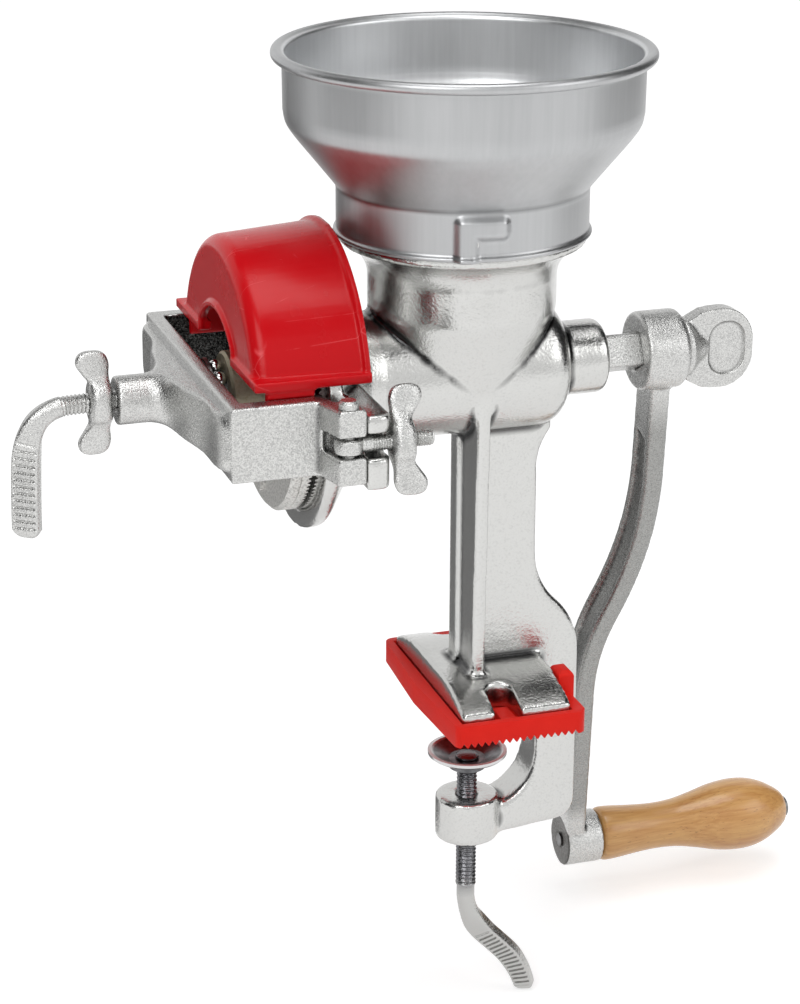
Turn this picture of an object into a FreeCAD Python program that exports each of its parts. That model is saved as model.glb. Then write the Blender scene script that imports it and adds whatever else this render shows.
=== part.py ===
import FreeCAD, Part
import math
import os
import Sketcher
from types import SimpleNamespace

document = FreeCAD.newDocument("plate_mill")
sheet = document.addObject("Spreadsheet::Sheet", "Sizes")
Vector = FreeCAD.Vector

# Sizes in millimetres, angles in degrees
sizes = {
    # Shared sizes
    "shaft_height": 140,
    "hopper_offset": 4.7,
    "running_clearance": 0.06,
    "side_clearance": 0.3,
    "wall_clearance": 0.5,
    # Body casting
    "web_thickness": 12,
    "column_left": 2.6,
    "column_right": 31,
    "frame_right": 50.3,
    "frame_shoulder": 124,
    "frame_bend": 31.4,
    "bend_step": 9,
    "bend_rise": 24,
    "bend_top": 46,
    "column_flare": 5.5,
    "column_flare_round": 24,
    "column_flare_low": 45,
    "column_flare_high": 27,
    "frame_top": 10,
    "foot_under": 134.2,
    "jaw_back": 32.5,
    "jaw_round": 21.5,
    "jaw_rise": 35,
    "jaw_flange": 5,
    "jaw_flange_reach": 13,
    "jaw_flange_drop": 3,
    "clamp_boss_radius": 13,
    "clamp_boss_under": 202,
    "clamp_boss_height": 19,
    "heel_rise": 3,
    "heel_round": 9,
    "frame_edge_round": 2.5,
    "flange_radius": 55.3,
    "flange_face": 69.5,
    "flange_thickness": 5,
    "flange_back": 46,
    "barrel_radius": 25.2,
    "barrel_end": 29,
    "barrel_bore": 22.5,
    "barrel_bore_end": 31,
    "bearing_radius": 14.7,
    "bearing_end": 57.3,
    "bearing_chamfer": 1.5,
    "plate_radius": 47.5,
    "plate_seat_depth": 3.5,
    "journal_radius": 8.5,
    "throat_radius": 36.5,
    "throat_foot": 24,
    "throat_cone_top": 26,
    "throat_flare": 40,
    "throat_flare_round": 15,
    "throat_wall": 3,
    "lip_radius": 47.6,
    "lip_height": 55.3,
    "lip_edge": 3,
    "rim_radius": 46.7,
    "rim_height": 72,
    "rim_bore": 43,
    "rib_thickness": 5.4,
    "rib_offset": 1.7,
    "rib_reach": 24.5,
    "rib_reach_low": 21,
    "foot_ridge": 121.7,
    "foot_half_length": 43,
    "foot_left": 12.5,
    "foot_edge": 5.6,
    "foot_flat": 8,
    "foot_arch": 70,
    "notch_left": 1,
    "notch_width": 11,
    "notch_end": 25,
    "ear_left": 63,
    "ear_thickness": 9,
    "ear_reach": 81,
    "ear_round": 4,
    "ear_half_height": 14,
    "ear_drop": 2.5,
    "ear_slot_floor": 70.5,
    "ear_slot_half": 4.6,
    "clamp_screw_radius": 4.25,
    "plate_screw_radius": 2.5,
    "plate_screw_circle": 34,
    "plate_screw_depth": 4,
    "pin_stud_radius": 2.3,
    "pin_stud_height": 62,
    "pin_stud_start": 43.3,
    "pin_stud_reach": 49.2,
    "hook_turn": -15,
    # Base pad
    "pad_left": 16,
    "pad_right": 38,
    "pad_bulge": 2.5,
    "pad_half_length": 47,
    "pad_height": 9,
    "pad_wall": 3,
    "ridge_pitch": 2.9,
    "ridge_depth": 1.9,
    "ridge_band": 12,
    "lug_height": 9.5,
    "lug_width": 7,
    "pad_corner": 4,
    "lug_round": 2.6,
    # Fixed grinding plate and its three screws
    "plate_bore": 22.5,
    "fixed_plate_thickness": 5,
    # Yoke
    "yoke_outer": 109.3,
    "yoke_inner": 103.6,
    "yoke_half_width": 65.7,
    "yoke_half_inside": 57.8,
    "yoke_half_height": 14,
    "yoke_edge": 0.8,
    "yoke_arm_end": 74,
    "clevis_reach": 80,
    "clevis_left": 73.4,
    "clevis_inside": 66.5,
    "clevis_gap": 8,
    "hinge_across": 68.7,
    "hinge_depth": 75.5,
    "hinge_radius": 2.5,
    "yoke_boss_radius": 9.3,
    "yoke_boss_end": 137,
    "adjusting_radius": 3.9,
    "flare_corner": 4.5,
    # Hinge pins, swing bolts and wing nuts on the near and far side
    "pin_head_radius": 3.8,
    "pin_head_height": 3,
    "bolt_radius": 3,
    "bolt_length": 31.7,
    "eye_radius": 5.4,
    "nut_radius": 7.8,
    "nut_length": 9.5,
    "nut_gap": 0.5,
    "wing_reach": 20.3,
    "wing_half_width": 6.6,
    "wing_half_height": 7,
    "wing_thickness": 4.4,
    "near_nut_turn": -14,
    "far_nut_turn": 35,
    # Adjusting screw with a bent thumb paddle, its lock nut and the thrust bearing
    "screw_tip": 102.9,
    "screw_bend": 160,
    "screw_bend_round": 10,
    "paddle_thickness": 5,
    "paddle_half_width": 5.4,
    "paddle_length": 41,
    "lock_nut_gap": 1.2,
    "thrust_left": 102.7,
    "thrust_thickness": 1.6,
    "thrust_radius": 13,
    "ball_radius": 2.8,
    "ball_circle": 9.5,
    # Rotor
    "core_radius": 10,
    "flight_radius": 21.5,
    "flight_thickness": 4,
    "flight_pitch": 26,
    "flight_start": 62,
    "flight_length": 87,
    "spindle_radius": 8,
    "carrier_left": 80,
    "carrier_thickness": 3.5,
    "turning_plate_thickness": 4,
    "hub_radius": 15,
    "drive_half": 6.6,
    "drive_corner": 2.2,
    "drive_end": 89,
    "crank_turn": 16.6,
    "drive_turn": 45,
    "thumb_screw_radius": 3.5,
    "drive_pin_radius": 2.5,
    "rivet_radius": 2.4,
    "rivet_circle": 38,
    "rivet_head_radius": 4,
    "rivet_head_height": 1.8,
    # Crank arm
    "crank_left": 73.1,
    "crank_right": 91.5,
    "crank_hub_radius": 15.8,
    "crank_length": 263.3,
    "crank_boss_radius": 11.9,
    "crank_boss_left": 76.5,
    "crank_boss_right": 93.7,
    "arm_half_width": 8.2,
    "arm_half_thickness": 4.3,
    "arm_edge_round": 1.5,
    "arm_upper_line": 82.2,
    "arm_lower_line": 58.2,
    "arm_lean": 0.088,
    "arm_bend_start": 58,
    "arm_upper_round": 170,
    "arm_lower_round": 100,
    "arm_groove_start": 41,
    "arm_groove_end": 236,
    "arm_groove": 2,
    "arm_border": 3.2,
    "handle_bolt_radius": 3,
    "arm_top": 5,
    # Thumb screw that holds the crank on the drive
    "thumb_collar_radius": 11.8,
    "thumb_reach": 30.6,
    "thumb_half_height": 16.4,
    "thumb_neck_half": 12,
    "thumb_round": 13.7,
    "thumb_drop": 1,
    "thumb_thickness": 8,
    "thumb_dish": 1.4,
    "thumb_dish_across": 19.2,
    "thumb_dish_half_width": 7.8,
    "thumb_dish_half_height": 11,
    # Wooden handle on its bolt
    "grip_length": 91.7,
    "grip_end_radius": 11.7,
    "grip_shoulder_radius": 12.2,
    "grip_tip_radius": 6.5,
    "grip_waist_round": 118,
    "grip_bulb_round": 36,
    "bolt_head_radius": 4.6,
    "bolt_head_height": 2,
    # Hopper
    "sheet_thickness": 1.2,
    "collar_radius": 48.3,
    "collar_height": 18.5,
    "bowl_radius": 68.1,
    "bowl_floor": 101,
    "cone_radius": 66.6,
    "cone_height": 96.7,
    "shoulder_round": 7,
    "rim_centre": 123.6,
    "rim_roll": 2.1,
    "rim_roll_radius": 70.4,
    "hook_rise": 2.4,
    "hook_angle": 15,
    "hook_arm_angle": 20,
    "hook_top": 73.4,
    "hook_arm_height": 8,
    # Guard cover
    "cover_left": 97,
    "cover_right": 54.5,
    "cover_radius_left": 56.5,
    "cover_radius_right": 59,
    "cover_round": 6,
    "cover_wall": 2.4,
    "cover_bead": 1.5,
    "cover_lip_height": 3.6,
    "cover_lip_half": 59.3,
    "skirt_depth": 8,
    "cover_lift": 2.8,
    "step_half": 58.7,
    "arch_half": 23.5,
    "arch_height": 29.5,
    # Table clamp
    "washer_rim": 23.6,
    "washer_radius": 16.2,
    "washer_floor": 27.2,
    "washer_thickness": 2,
    "washer_hub_radius": 7.5,
    "washer_hub_height": 3.8,
    "neck_radius": 3,
    "clamp_thread_run": 22,
    "clamp_shank_radius": 3.7,
    "clamp_bend_drop": 8,
    "clamp_paddle_thickness": 5.5,
}


class Size:
    """A sheet size, or a sum of sheet sizes: its value and the formula that binds it."""

    def __init__(self, value, text):
        self.value = value
        self.text = text

    def __add__(self, other):
        return join(self, "+", other)

    def __radd__(self, other):
        return join(other, "+", self)

    def __sub__(self, other):
        return join(self, "-", other)

    def __rsub__(self, other):
        return join(other, "-", self)

    def __mul__(self, other):
        return join(self, "*", other)

    def __rmul__(self, other):
        return join(other, "*", self)

    def __truediv__(self, other):
        return join(self, "/", other)

    def __neg__(self):
        return join(0, "-", self)


def as_size(item):
    """A plain number as a size without a sheet cell."""
    if isinstance(item, Size):
        return item
    return Size(float(item), "(" + str(item) + ")")


def join(left, sign, right):
    """The sum, difference, product or quotient of two sizes."""
    left = as_size(left)
    right = as_size(right)
    if sign == "+":
        value = left.value + right.value
    elif sign == "-":
        value = left.value - right.value
    elif sign == "*":
        value = left.value * right.value
    else:
        value = left.value / right.value
    return Size(value, "(" + left.text + " " + sign + " " + right.text + ")")


def on_sheet(row, name):
    """Put one named size on the sheet and give it back for use in sketches."""
    cell = "A" + str(row)
    sheet.set(cell, str(sizes[name]))
    sheet.setAlias(cell, name)
    return Size(float(sizes[name]), "Sizes." + name)


size = SimpleNamespace(**{name: on_sheet(row, name) for row, name in enumerate(sizes, 1)})
pieces = []


def bind(item, target, value):
    """Bind one property of a document object to a size."""
    item.setExpression(target, as_size(value).text)


def new_body(label):
    """An empty body that becomes one piece of the mill."""
    body = document.addObject("PartDesign::Body", label)
    body.Label = label
    pieces.append(body)
    return body


def place(item, across, depth, height, turn=None, axis=Vector(1, 0, 0)):
    """Put a piece where it sits on the mill, turned about the shaft direction or another axis if asked."""
    if turn is not None:
        item.Placement = FreeCAD.Placement(Vector(0, 0, 0), FreeCAD.Rotation(axis, turn.value))
        bind(item, "Placement.Rotation.Angle", turn)
    bind(item, "Placement.Base.x", across)
    bind(item, "Placement.Base.y", depth)
    bind(item, "Placement.Base.z", height)


def sketch_on(body, name, plane, offset=0, lift=0):
    """A sketch on a plane of the body, moved along the plane's normal and up its own height."""
    sketch = body.newObject("Sketcher::SketchObject", body.Label + "_" + name)
    support = [item for item in body.Origin.OriginFeatures if item.Role == plane][0]
    sketch.AttachmentSupport = [(support, "")]
    sketch.MapMode = "FlatFace"
    bind(sketch, "AttachmentOffset.Base.z", offset)
    bind(sketch, "AttachmentOffset.Base.y", lift)
    return sketch


def constrain(sketch, kind, places, value):
    """One driving dimension of a sketch, bound to a size."""
    number = sketch.addConstraint(Sketcher.Constraint(kind, *places, as_size(value).value))
    bind(sketch, "Constraints[" + str(number) + "]", value)


def outline(sketch, points):
    """A closed outline. A third entry makes the way to the next point an arc of that radius:
    positive turns left, negative turns right."""
    first = sketch.GeometryCount
    count = len(points)
    starts = []
    ends = []
    for index, point in enumerate(points):
        following = points[(index + 1) % count]
        begin = Vector(as_size(point[0]).value, as_size(point[1]).value, 0)
        finish = Vector(as_size(following[0]).value, as_size(following[1]).value, 0)
        if len(point) == 2:
            sketch.addGeometry(Part.LineSegment(begin, finish), False)
            starts.append(1)
            ends.append(2)
            continue
        radius = as_size(point[2]).value
        chord = finish - begin
        left = Vector(-chord.y, chord.x, 0) / chord.Length
        reach = math.sqrt(radius ** 2 - (chord.Length / 2) ** 2)
        center = begin + chord / 2 + left * math.copysign(reach, radius)
        if radius > 0:
            low, high = begin, finish
            starts.append(1)
            ends.append(2)
        else:
            low, high = finish, begin
            starts.append(2)
            ends.append(1)
        low_angle = math.atan2(low.y - center.y, low.x - center.x)
        high_angle = math.atan2(high.y - center.y, high.x - center.x)
        round_line = Part.Circle(center, Vector(0, 0, 1), abs(radius))
        sketch.addGeometry(Part.ArcOfCircle(round_line, low_angle, high_angle), False)
    for index in range(count):
        following = (index + 1) % count
        joint = (first + index, ends[index], first + following, starts[following])
        sketch.addConstraint(Sketcher.Constraint("Coincident", *joint))
    for index, point in enumerate(points):
        corner = (-1, 1, first + index, starts[index])
        constrain(sketch, "DistanceX", corner, point[0])
        constrain(sketch, "DistanceY", corner, point[1])
        if len(point) == 3:
            turn = as_size(point[2])
            constrain(sketch, "Radius", (first + index,), turn if turn.value > 0 else -turn)


def circle(sketch, across, up, radius):
    """A circle with its centre and radius bound to sizes."""
    number = sketch.GeometryCount
    center = Vector(as_size(across).value, as_size(up).value, 0)
    sketch.addGeometry(Part.Circle(center, Vector(0, 0, 1), as_size(radius).value), False)
    constrain(sketch, "DistanceX", (-1, 1, number, 3), across)
    constrain(sketch, "DistanceY", (-1, 1, number, 3), up)
    constrain(sketch, "Radius", (number,), radius)


def rounded(sketch, across, up, half_width, half_height, corner):
    """A rectangle with rounded corners about a centre."""
    left = across - half_width
    right = across + half_width
    low = up - half_height
    high = up + half_height
    outline(sketch, [
        (left + corner, low), (right - corner, low, corner),
        (right, low + corner), (right, high - corner, corner),
        (right - corner, high), (left + corner, high, corner),
        (left, high - corner), (left, low + corner, corner)])


def box(sketch, left, low, right, high):
    """A plain rectangle between two corners."""
    outline(sketch, [(left, low), (right, low), (right, high), (left, high)])


def feature(body, kind, sketch, name):
    """A feature of the body made from a sketch."""
    made = body.newObject("PartDesign::" + kind, body.Label + "_" + name)
    made.Profile = sketch
    return made


def pad(body, sketch, name, length, symmetric=False, backward=False, kind="Pad"):
    """A straight block from a sketch, to one side or half to each side."""
    made = feature(body, kind, sketch, name)
    bind(made, "Length", length)
    if symmetric:
        made.SideType = "Symmetric"
    made.Reversed = backward
    return made


def pocket(body, sketch, name, length, symmetric=False, backward=False):
    """A straight cut from a sketch."""
    return pad(body, sketch, name, length, symmetric, backward, "Pocket")


def revolve(body, sketch, name, axis, angle=360, symmetric=False, backward=False, kind="Revolution"):
    """A turned shape about an axis of its own sketch."""
    made = feature(body, kind, sketch, name)
    made.ReferenceAxis = (sketch, [axis])
    bind(made, "Angle", angle)
    made.Midplane = symmetric
    made.Reversed = backward
    return made


def groove(body, sketch, name, axis, angle=360, symmetric=False, backward=False):
    """A turned cut about an axis of its own sketch."""
    return revolve(body, sketch, name, axis, angle, symmetric, backward, "Groove")


def loft(body, sections, name):
    """A smooth shape through a row of sketches."""
    made = feature(body, "AdditiveLoft", sections[0], name)
    made.Sections = sections[1:]
    return made


def round_edges(body, name, radius, chosen, kind="Fillet", target="Radius"):
    """Round or chamfer the edges of the body so far that the test picks."""
    document.recompute()
    tip = body.Tip
    names = ["Edge" + str(number + 1) for number, edge in enumerate(tip.Shape.Edges) if chosen(edge)]
    made = body.newObject("PartDesign::" + kind, body.Label + "_" + name)
    made.Base = (tip, names)
    bind(made, target, radius)
    body.Tip = made
    return made


def near(value, wanted):
    """Whether a coordinate lies on a size."""
    return abs(value - as_size(wanted).value) < 0.01


def middle(edge):
    """The point halfway along an edge."""
    return edge.valueAt((edge.FirstParameter + edge.LastParameter) / 2)


# Head: drawn about the point where the shaft crosses the hopper axis
def place_on_head(item, across=0, depth=0, height=0, turn=None, axis=Vector(1, 0, 0)):
    """Put a piece at a place measured from the middle of the head."""
    place(item, across - size.hopper_offset, depth, height + size.shaft_height, turn, axis)


# Body casting: barrel with the plate flange, throat, column, foot, clamp frame and ears
casting = new_body("body_casting")
clamp_boss_top = size.clamp_boss_under - size.clamp_boss_height
jaw_round_top = size.clamp_boss_under - size.jaw_rise
jaw_floor = size.jaw_back - size.jaw_round
frame_heel = size.clamp_boss_under - size.heel_rise
column_flared = size.column_right + size.column_flare
frame = sketch_on(casting, "frame", "XZ_Plane")
outline(frame, [
    (-size.column_left, -size.frame_top), (-size.column_left, -size.foot_under),
    (size.jaw_back, -size.foot_under), (size.jaw_back, -jaw_round_top, -size.jaw_round),
    (jaw_floor, -(jaw_round_top + size.jaw_round)), (jaw_floor, -size.clamp_boss_under),
    (size.frame_right - size.heel_round, -frame_heel, size.heel_round),
    (size.frame_right, size.heel_round - frame_heel),
    (size.frame_right, -size.frame_shoulder, size.frame_bend),
    (size.column_right + size.bend_step, size.bend_rise - size.frame_shoulder, -size.frame_bend),
    (size.column_right, size.bend_top - size.frame_shoulder),
    (size.column_right, -size.column_flare_low, -size.column_flare_round),
    (column_flared, -size.column_flare_high), (column_flared, -size.frame_top)])
pad(casting, frame, "frame_plate", size.web_thickness, symmetric=True)


def on_frame_edge(edge):
    """Edges of the frame on its two flat sides, apart from the ones inside the barrel, foot and boss."""
    point = middle(edge)
    half = size.web_thickness / 2
    ends = [near(abs(vertex.Y), half) for vertex in edge.Vertexes]
    buried = near(point.z, -size.foot_under) or near(point.z, -size.frame_top) or near(point.x, jaw_floor)
    return all(ends) and near(abs(point.y), half) and not buried


round_edges(casting, "frame_edges", size.frame_edge_round, on_frame_edge)
flange = sketch_on(casting, "jaw_flange", "XZ_Plane")
flange_top = size.shaft_height + size.jaw_flange_drop
outline(flange, [
    (size.jaw_back, -flange_top), (size.jaw_back, -jaw_round_top, -size.jaw_round),
    (jaw_floor, -(jaw_round_top + size.jaw_round)),
    (jaw_floor, -(jaw_round_top + size.jaw_round + size.jaw_flange), size.jaw_round + size.jaw_flange),
    (size.jaw_back + size.jaw_flange, -jaw_round_top), (size.jaw_back + size.jaw_flange, -flange_top)])
pad(casting, flange, "jaw_flange_plate", size.jaw_flange_reach, backward=True)

barrel = sketch_on(casting, "barrel", "XZ_Plane")
outline(barrel, [
    (-size.flange_face, 0), (-size.flange_face, size.flange_radius),
    (size.flange_thickness - size.flange_face, size.flange_radius),
    (-size.flange_back, size.barrel_radius + 3),
    (8 - size.flange_back, size.barrel_radius),
    (size.barrel_end, size.barrel_radius, size.bearing_radius - size.barrel_radius),
    (size.barrel_end + size.barrel_radius - size.bearing_radius, size.bearing_radius),
    (size.bearing_end - size.bearing_chamfer, size.bearing_radius),
    (size.bearing_end, size.bearing_radius - size.bearing_chamfer), (size.bearing_end, 0)])
revolve(casting, barrel, "barrel_turned", "H_Axis")

throat = sketch_on(casting, "throat", "XZ_Plane")
outline(throat, [
    (0, -6), (size.throat_foot, -6), (size.throat_radius, size.throat_cone_top),
    (size.throat_radius, size.throat_flare, -size.throat_flare_round),
    (size.lip_radius, size.lip_height - size.lip_edge),
    (size.lip_radius, size.lip_height), (size.rim_radius, size.lip_height),
    (size.rim_radius, size.rim_height), (0, size.rim_height)])
revolve(casting, throat, "throat_turned", "V_Axis")

rib = sketch_on(casting, "rib", "YZ_Plane", size.rib_offset)
outline(rib, [
    (0, -5), (-size.rib_reach, -5), (-size.rib_reach, -16), (-size.rib_reach_low, -(size.foot_ridge + 6)),
    (0, -(size.foot_ridge + 6))])
pad(casting, rib, "rib_plate", size.rib_thickness, symmetric=True)

foot = sketch_on(casting, "foot", "YZ_Plane", -size.foot_left)
outline(foot, [
    (-size.foot_half_length, -size.foot_under), (size.foot_half_length, -size.foot_under),
    (size.foot_half_length, size.foot_edge - size.foot_under, size.foot_arch),
    (size.foot_flat, -size.foot_ridge),
    (-size.foot_flat, -size.foot_ridge, size.foot_arch),
    (-size.foot_half_length, size.foot_edge - size.foot_under)])
pad(casting, foot, "foot_block", size.foot_left + size.jaw_back)

notches = sketch_on(casting, "notches", "XY_Plane", -(size.foot_ridge - 2))
notch_round = size.notch_width / 2 + 0.5
for side in (-1, 1):
    shore = side * (size.notch_end + 5)
    outer = side * (size.foot_half_length + 5)
    outline(notches, [
        (size.notch_left, outer), (size.notch_left, shore, side * notch_round),
        (size.notch_left + size.notch_width, shore), (size.notch_left + size.notch_width, outer)])
pocket(casting, notches, "foot_notches", size.foot_under - size.foot_ridge + 5)

clamp_boss = sketch_on(casting, "clamp_boss", "XY_Plane", -size.clamp_boss_under)
circle(clamp_boss, size.hopper_offset, 0, size.clamp_boss_radius)
pad(casting, clamp_boss, "clamp_boss_block", size.clamp_boss_under - clamp_boss_top)

ear_right = size.ear_thickness - size.ear_left
ears = sketch_on(casting, "ears", "XY_Plane", -size.ear_drop)
outline(ears, [
    (-size.ear_left, -size.ear_reach), (ear_right - size.ear_round, -size.ear_reach, size.ear_round),
    (ear_right, size.ear_round - size.ear_reach),
    (ear_right, size.ear_reach - size.ear_round, size.ear_round),
    (ear_right - size.ear_round, size.ear_reach), (-size.ear_left, size.ear_reach)])
pad(casting, ears, "ear_bar", size.ear_half_height * 2, symmetric=True)
slots = sketch_on(casting, "slots", "YZ_Plane", ear_right + 1)
for side in (-1, 1):
    box(slots, side * size.ear_slot_floor, -size.ear_slot_half, side * (size.ear_reach + 1),
        size.ear_slot_half)
pocket(casting, slots, "ear_slots", size.ear_thickness + 2)

bore = sketch_on(casting, "bore", "XZ_Plane")
plate_seat = size.plate_seat_depth - size.flange_face
outline(bore, [
    (-(size.flange_face + 1), 0), (-(size.flange_face + 1), size.plate_radius + size.wall_clearance),
    (plate_seat, size.plate_radius + size.wall_clearance), (plate_seat, size.barrel_bore),
    (size.barrel_bore_end, size.barrel_bore),
    (size.barrel_bore_end, size.journal_radius + size.running_clearance),
    (size.bearing_end + 1, size.journal_radius + size.running_clearance), (size.bearing_end + 1, 0)])
groove(casting, bore, "barrel_bore", "H_Axis")

throat_bore = sketch_on(casting, "throat_bore", "XZ_Plane")
outline(throat_bore, [
    (0, 3), (size.throat_foot - 4, 3), (size.throat_radius - size.throat_wall, size.throat_cone_top + 1),
    (size.throat_radius - size.throat_wall, size.throat_flare + 2), (size.rim_bore, size.lip_height + 2),
    (size.rim_bore, size.rim_height + 1), (0, size.rim_height + 1)])
groove(casting, throat_bore, "throat_opening", "V_Axis")

clamp_hole = sketch_on(casting, "clamp_hole", "XY_Plane", -(clamp_boss_top - 1))
circle(clamp_hole, size.hopper_offset, 0, size.clamp_screw_radius + size.running_clearance)
pocket(casting, clamp_hole, "clamp_bore", size.clamp_boss_under - clamp_boss_top + 2)

screw_places = [(0.0, 1.0), (-0.866, -0.5), (0.866, -0.5)]


def screw_circles(sketch, circle_radius, radius):
    """Three circles spaced evenly about the shaft."""
    for sideways, upward in screw_places:
        circle(sketch, circle_radius * sideways, circle_radius * upward, radius)


plate_screw_holes = sketch_on(casting, "plate_screw_holes", "YZ_Plane", plate_seat + size.plate_screw_depth)
screw_circles(plate_screw_holes, size.plate_screw_circle, size.plate_screw_radius + size.running_clearance)
pocket(casting, plate_screw_holes, "plate_screw_bores", size.plate_screw_depth + 1)

upright = Vector(0, 0, 1)
stud_hole = sketch_on(casting, "stud_hole", "XZ_Plane")
stud_hole.AttachmentOffset = FreeCAD.Placement(Vector(0, 0, 0), FreeCAD.Rotation(Vector(0, 1, 0),
    size.hook_turn.value))
circle(stud_hole, 0, size.pin_stud_height, size.pin_stud_radius + size.running_clearance)
pocket(casting, stud_hole, "stud_bore", size.rim_radius + 1, backward=True)

place_on_head(casting)

# Bayonet stud of the throat rim
stud = new_body("bayonet_pin")
stud_face = sketch_on(stud, "face", "XZ_Plane", size.pin_stud_reach)
circle(stud_face, 0, size.pin_stud_height, size.pin_stud_radius)
pad(stud, stud_face, "rod", size.pin_stud_reach - size.pin_stud_start, backward=True)
place_on_head(stud, 0, 0, 0, size.hook_turn, upright)

# Base pad: plastic tray under the foot, notched for the frame, with ridges below
tray_floor = size.shaft_height - size.foot_under
tray = new_body("base_pad")
tray_plan = sketch_on(tray, "plan", "XY_Plane")
frame_gap = size.web_thickness / 2 + size.side_clearance
outline(tray_plan, [
    (-size.pad_left, -size.pad_half_length), (size.pad_right, -size.pad_half_length),
    (size.pad_right, -frame_gap),
    (size.jaw_back - size.side_clearance, -frame_gap), (size.jaw_back - size.side_clearance, frame_gap),
    (size.pad_right, frame_gap),
    (size.pad_right, size.pad_half_length), (-size.pad_left, size.pad_half_length),
    (-(size.pad_left + size.pad_bulge), 0)])
pad(tray, tray_plan, "block", size.pad_height)


def on_pad_corner(edge):
    """Upright edges at the four outer corners of the tray."""
    point = middle(edge)
    return near(abs(point.y), size.pad_half_length) and near(point.z, size.pad_height / 2)


round_edges(tray, "corners", size.pad_corner, on_pad_corner)
tray_inside = sketch_on(tray, "inside", "XY_Plane", size.pad_height)
box(tray_inside, -(size.foot_left + size.wall_clearance), -(size.foot_half_length + size.wall_clearance),
    size.jaw_back + size.wall_clearance, size.foot_half_length + size.wall_clearance)
pocket(tray, tray_inside, "inside_cut", size.pad_height - tray_floor)
tray_ribs = sketch_on(tray, "ribs", "XY_Plane", tray_floor - 1)
for side in (-1, 1):
    box(tray_ribs, size.notch_left + 2.5, side * (size.notch_end + 7),
        size.notch_left + size.notch_width - 2.5,
        side * (size.pad_half_length - 1))
pad(tray, tray_ribs, "rib_blocks", size.pad_height - tray_floor + 0.5)
tray_lugs = sketch_on(tray, "lugs", "XY_Plane", tray_floor - 1)
for side in (-1, 1):
    box(tray_lugs, size.jaw_back + size.wall_clearance, side * 18, size.pad_right + 1.5,
        side * (18 + size.lug_width + 3))
pad(tray, tray_lugs, "lug_blocks", size.lug_height + 4)
lug_top = tray_floor + size.lug_height + 3


def on_lug_top(edge):
    """Top edges of the two lugs."""
    return near(middle(edge).z, lug_top)


round_edges(tray, "lug_tops", size.lug_round, on_lug_top)
ridge_cut = sketch_on(tray, "ridge_cut", "XZ_Plane", size.pad_half_length - size.ridge_band)
ridge_start = size.ridge_pitch / 2 - size.pad_left
outline(ridge_cut, [
    (ridge_start, -0.2), (ridge_start + size.ridge_pitch * 0.9, -0.2),
    (ridge_start + size.ridge_pitch * 0.45, size.ridge_depth)])
front_ridge = pocket(tray, ridge_cut, "front_ridge", size.ridge_band + 1, backward=True)
back_cut = sketch_on(tray, "back_cut", "XZ_Plane", size.ridge_band - size.pad_half_length)
outline(back_cut, [
    (ridge_start, -0.2), (ridge_start + size.ridge_pitch * 0.9, -0.2),
    (ridge_start + size.ridge_pitch * 0.45, size.ridge_depth)])
back_ridge = pocket(tray, back_cut, "back_ridge", size.ridge_band + 1)
ridge_row = tray.newObject("PartDesign::LinearPattern", "base_pad_ridge_row")
ridge_row.Originals = [front_ridge, back_ridge]
ridge_row.Direction = (ridge_cut, ["H_Axis"])
ridge_row.Occurrences = 17
bind(ridge_row, "Length", size.ridge_pitch * 16)
tray.Tip = ridge_row
place(tray, -size.hopper_offset, 0, 0)

# Fixed grinding plate and its three screws
fixed_plate = new_body("fixed_plate")
fixed_ring = sketch_on(fixed_plate, "ring", "YZ_Plane", plate_seat)
circle(fixed_ring, 0, 0, size.plate_radius)
circle(fixed_ring, 0, 0, size.plate_bore)
pad(fixed_plate, fixed_ring, "disc", size.fixed_plate_thickness, backward=True)
fixed_holes = sketch_on(fixed_plate, "holes", "YZ_Plane", plate_seat + 1)
screw_circles(fixed_holes, size.plate_screw_circle, size.plate_screw_radius + size.running_clearance)
pocket(fixed_plate, fixed_holes, "bores", size.fixed_plate_thickness + 2)
place_on_head(fixed_plate)

fixed_screws = new_body("fixed_plate_screws")
fixed_rods = sketch_on(fixed_screws, "rods", "YZ_Plane",
    plate_seat + size.plate_screw_depth - size.side_clearance)
screw_circles(fixed_rods, size.plate_screw_circle, size.plate_screw_radius)
pad(fixed_screws, fixed_rods, "rod_group", size.plate_screw_depth + size.fixed_plate_thickness - 1,
    backward=True)
place_on_head(fixed_screws)

# Yoke: bridge round the plates with a flared boss for the adjusting screw and two clevises
clevis_right = size.ear_left
yoke = new_body("yoke")
yoke_plan = sketch_on(yoke, "plan", "XY_Plane")
near_side = [
    (-size.yoke_outer, -size.yoke_half_width), (-(size.yoke_arm_end + 3), -size.yoke_half_width),
    (-size.clevis_left, -size.clevis_reach),
    (-clevis_right, -size.clevis_reach), (-clevis_right, -size.clevis_inside),
    (3 - size.yoke_arm_end, -size.clevis_inside),
    (-size.yoke_arm_end, -size.yoke_half_inside), (-size.yoke_inner, -size.yoke_half_inside)]
far_side = [(across, -depth) for across, depth in reversed(near_side)]
outline(yoke_plan, near_side + far_side)
pad(yoke, yoke_plan, "bridge", size.yoke_half_height * 2, symmetric=True)


def on_yoke_top(edge):
    """Outer top edges of the bridge."""
    point = middle(edge)
    wall = near(point.x, -size.yoke_outer)
    arm = near(abs(point.y), size.yoke_half_width) and point.x < -size.yoke_arm_end.value
    return near(point.z, size.yoke_half_height) and (wall or arm)


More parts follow.
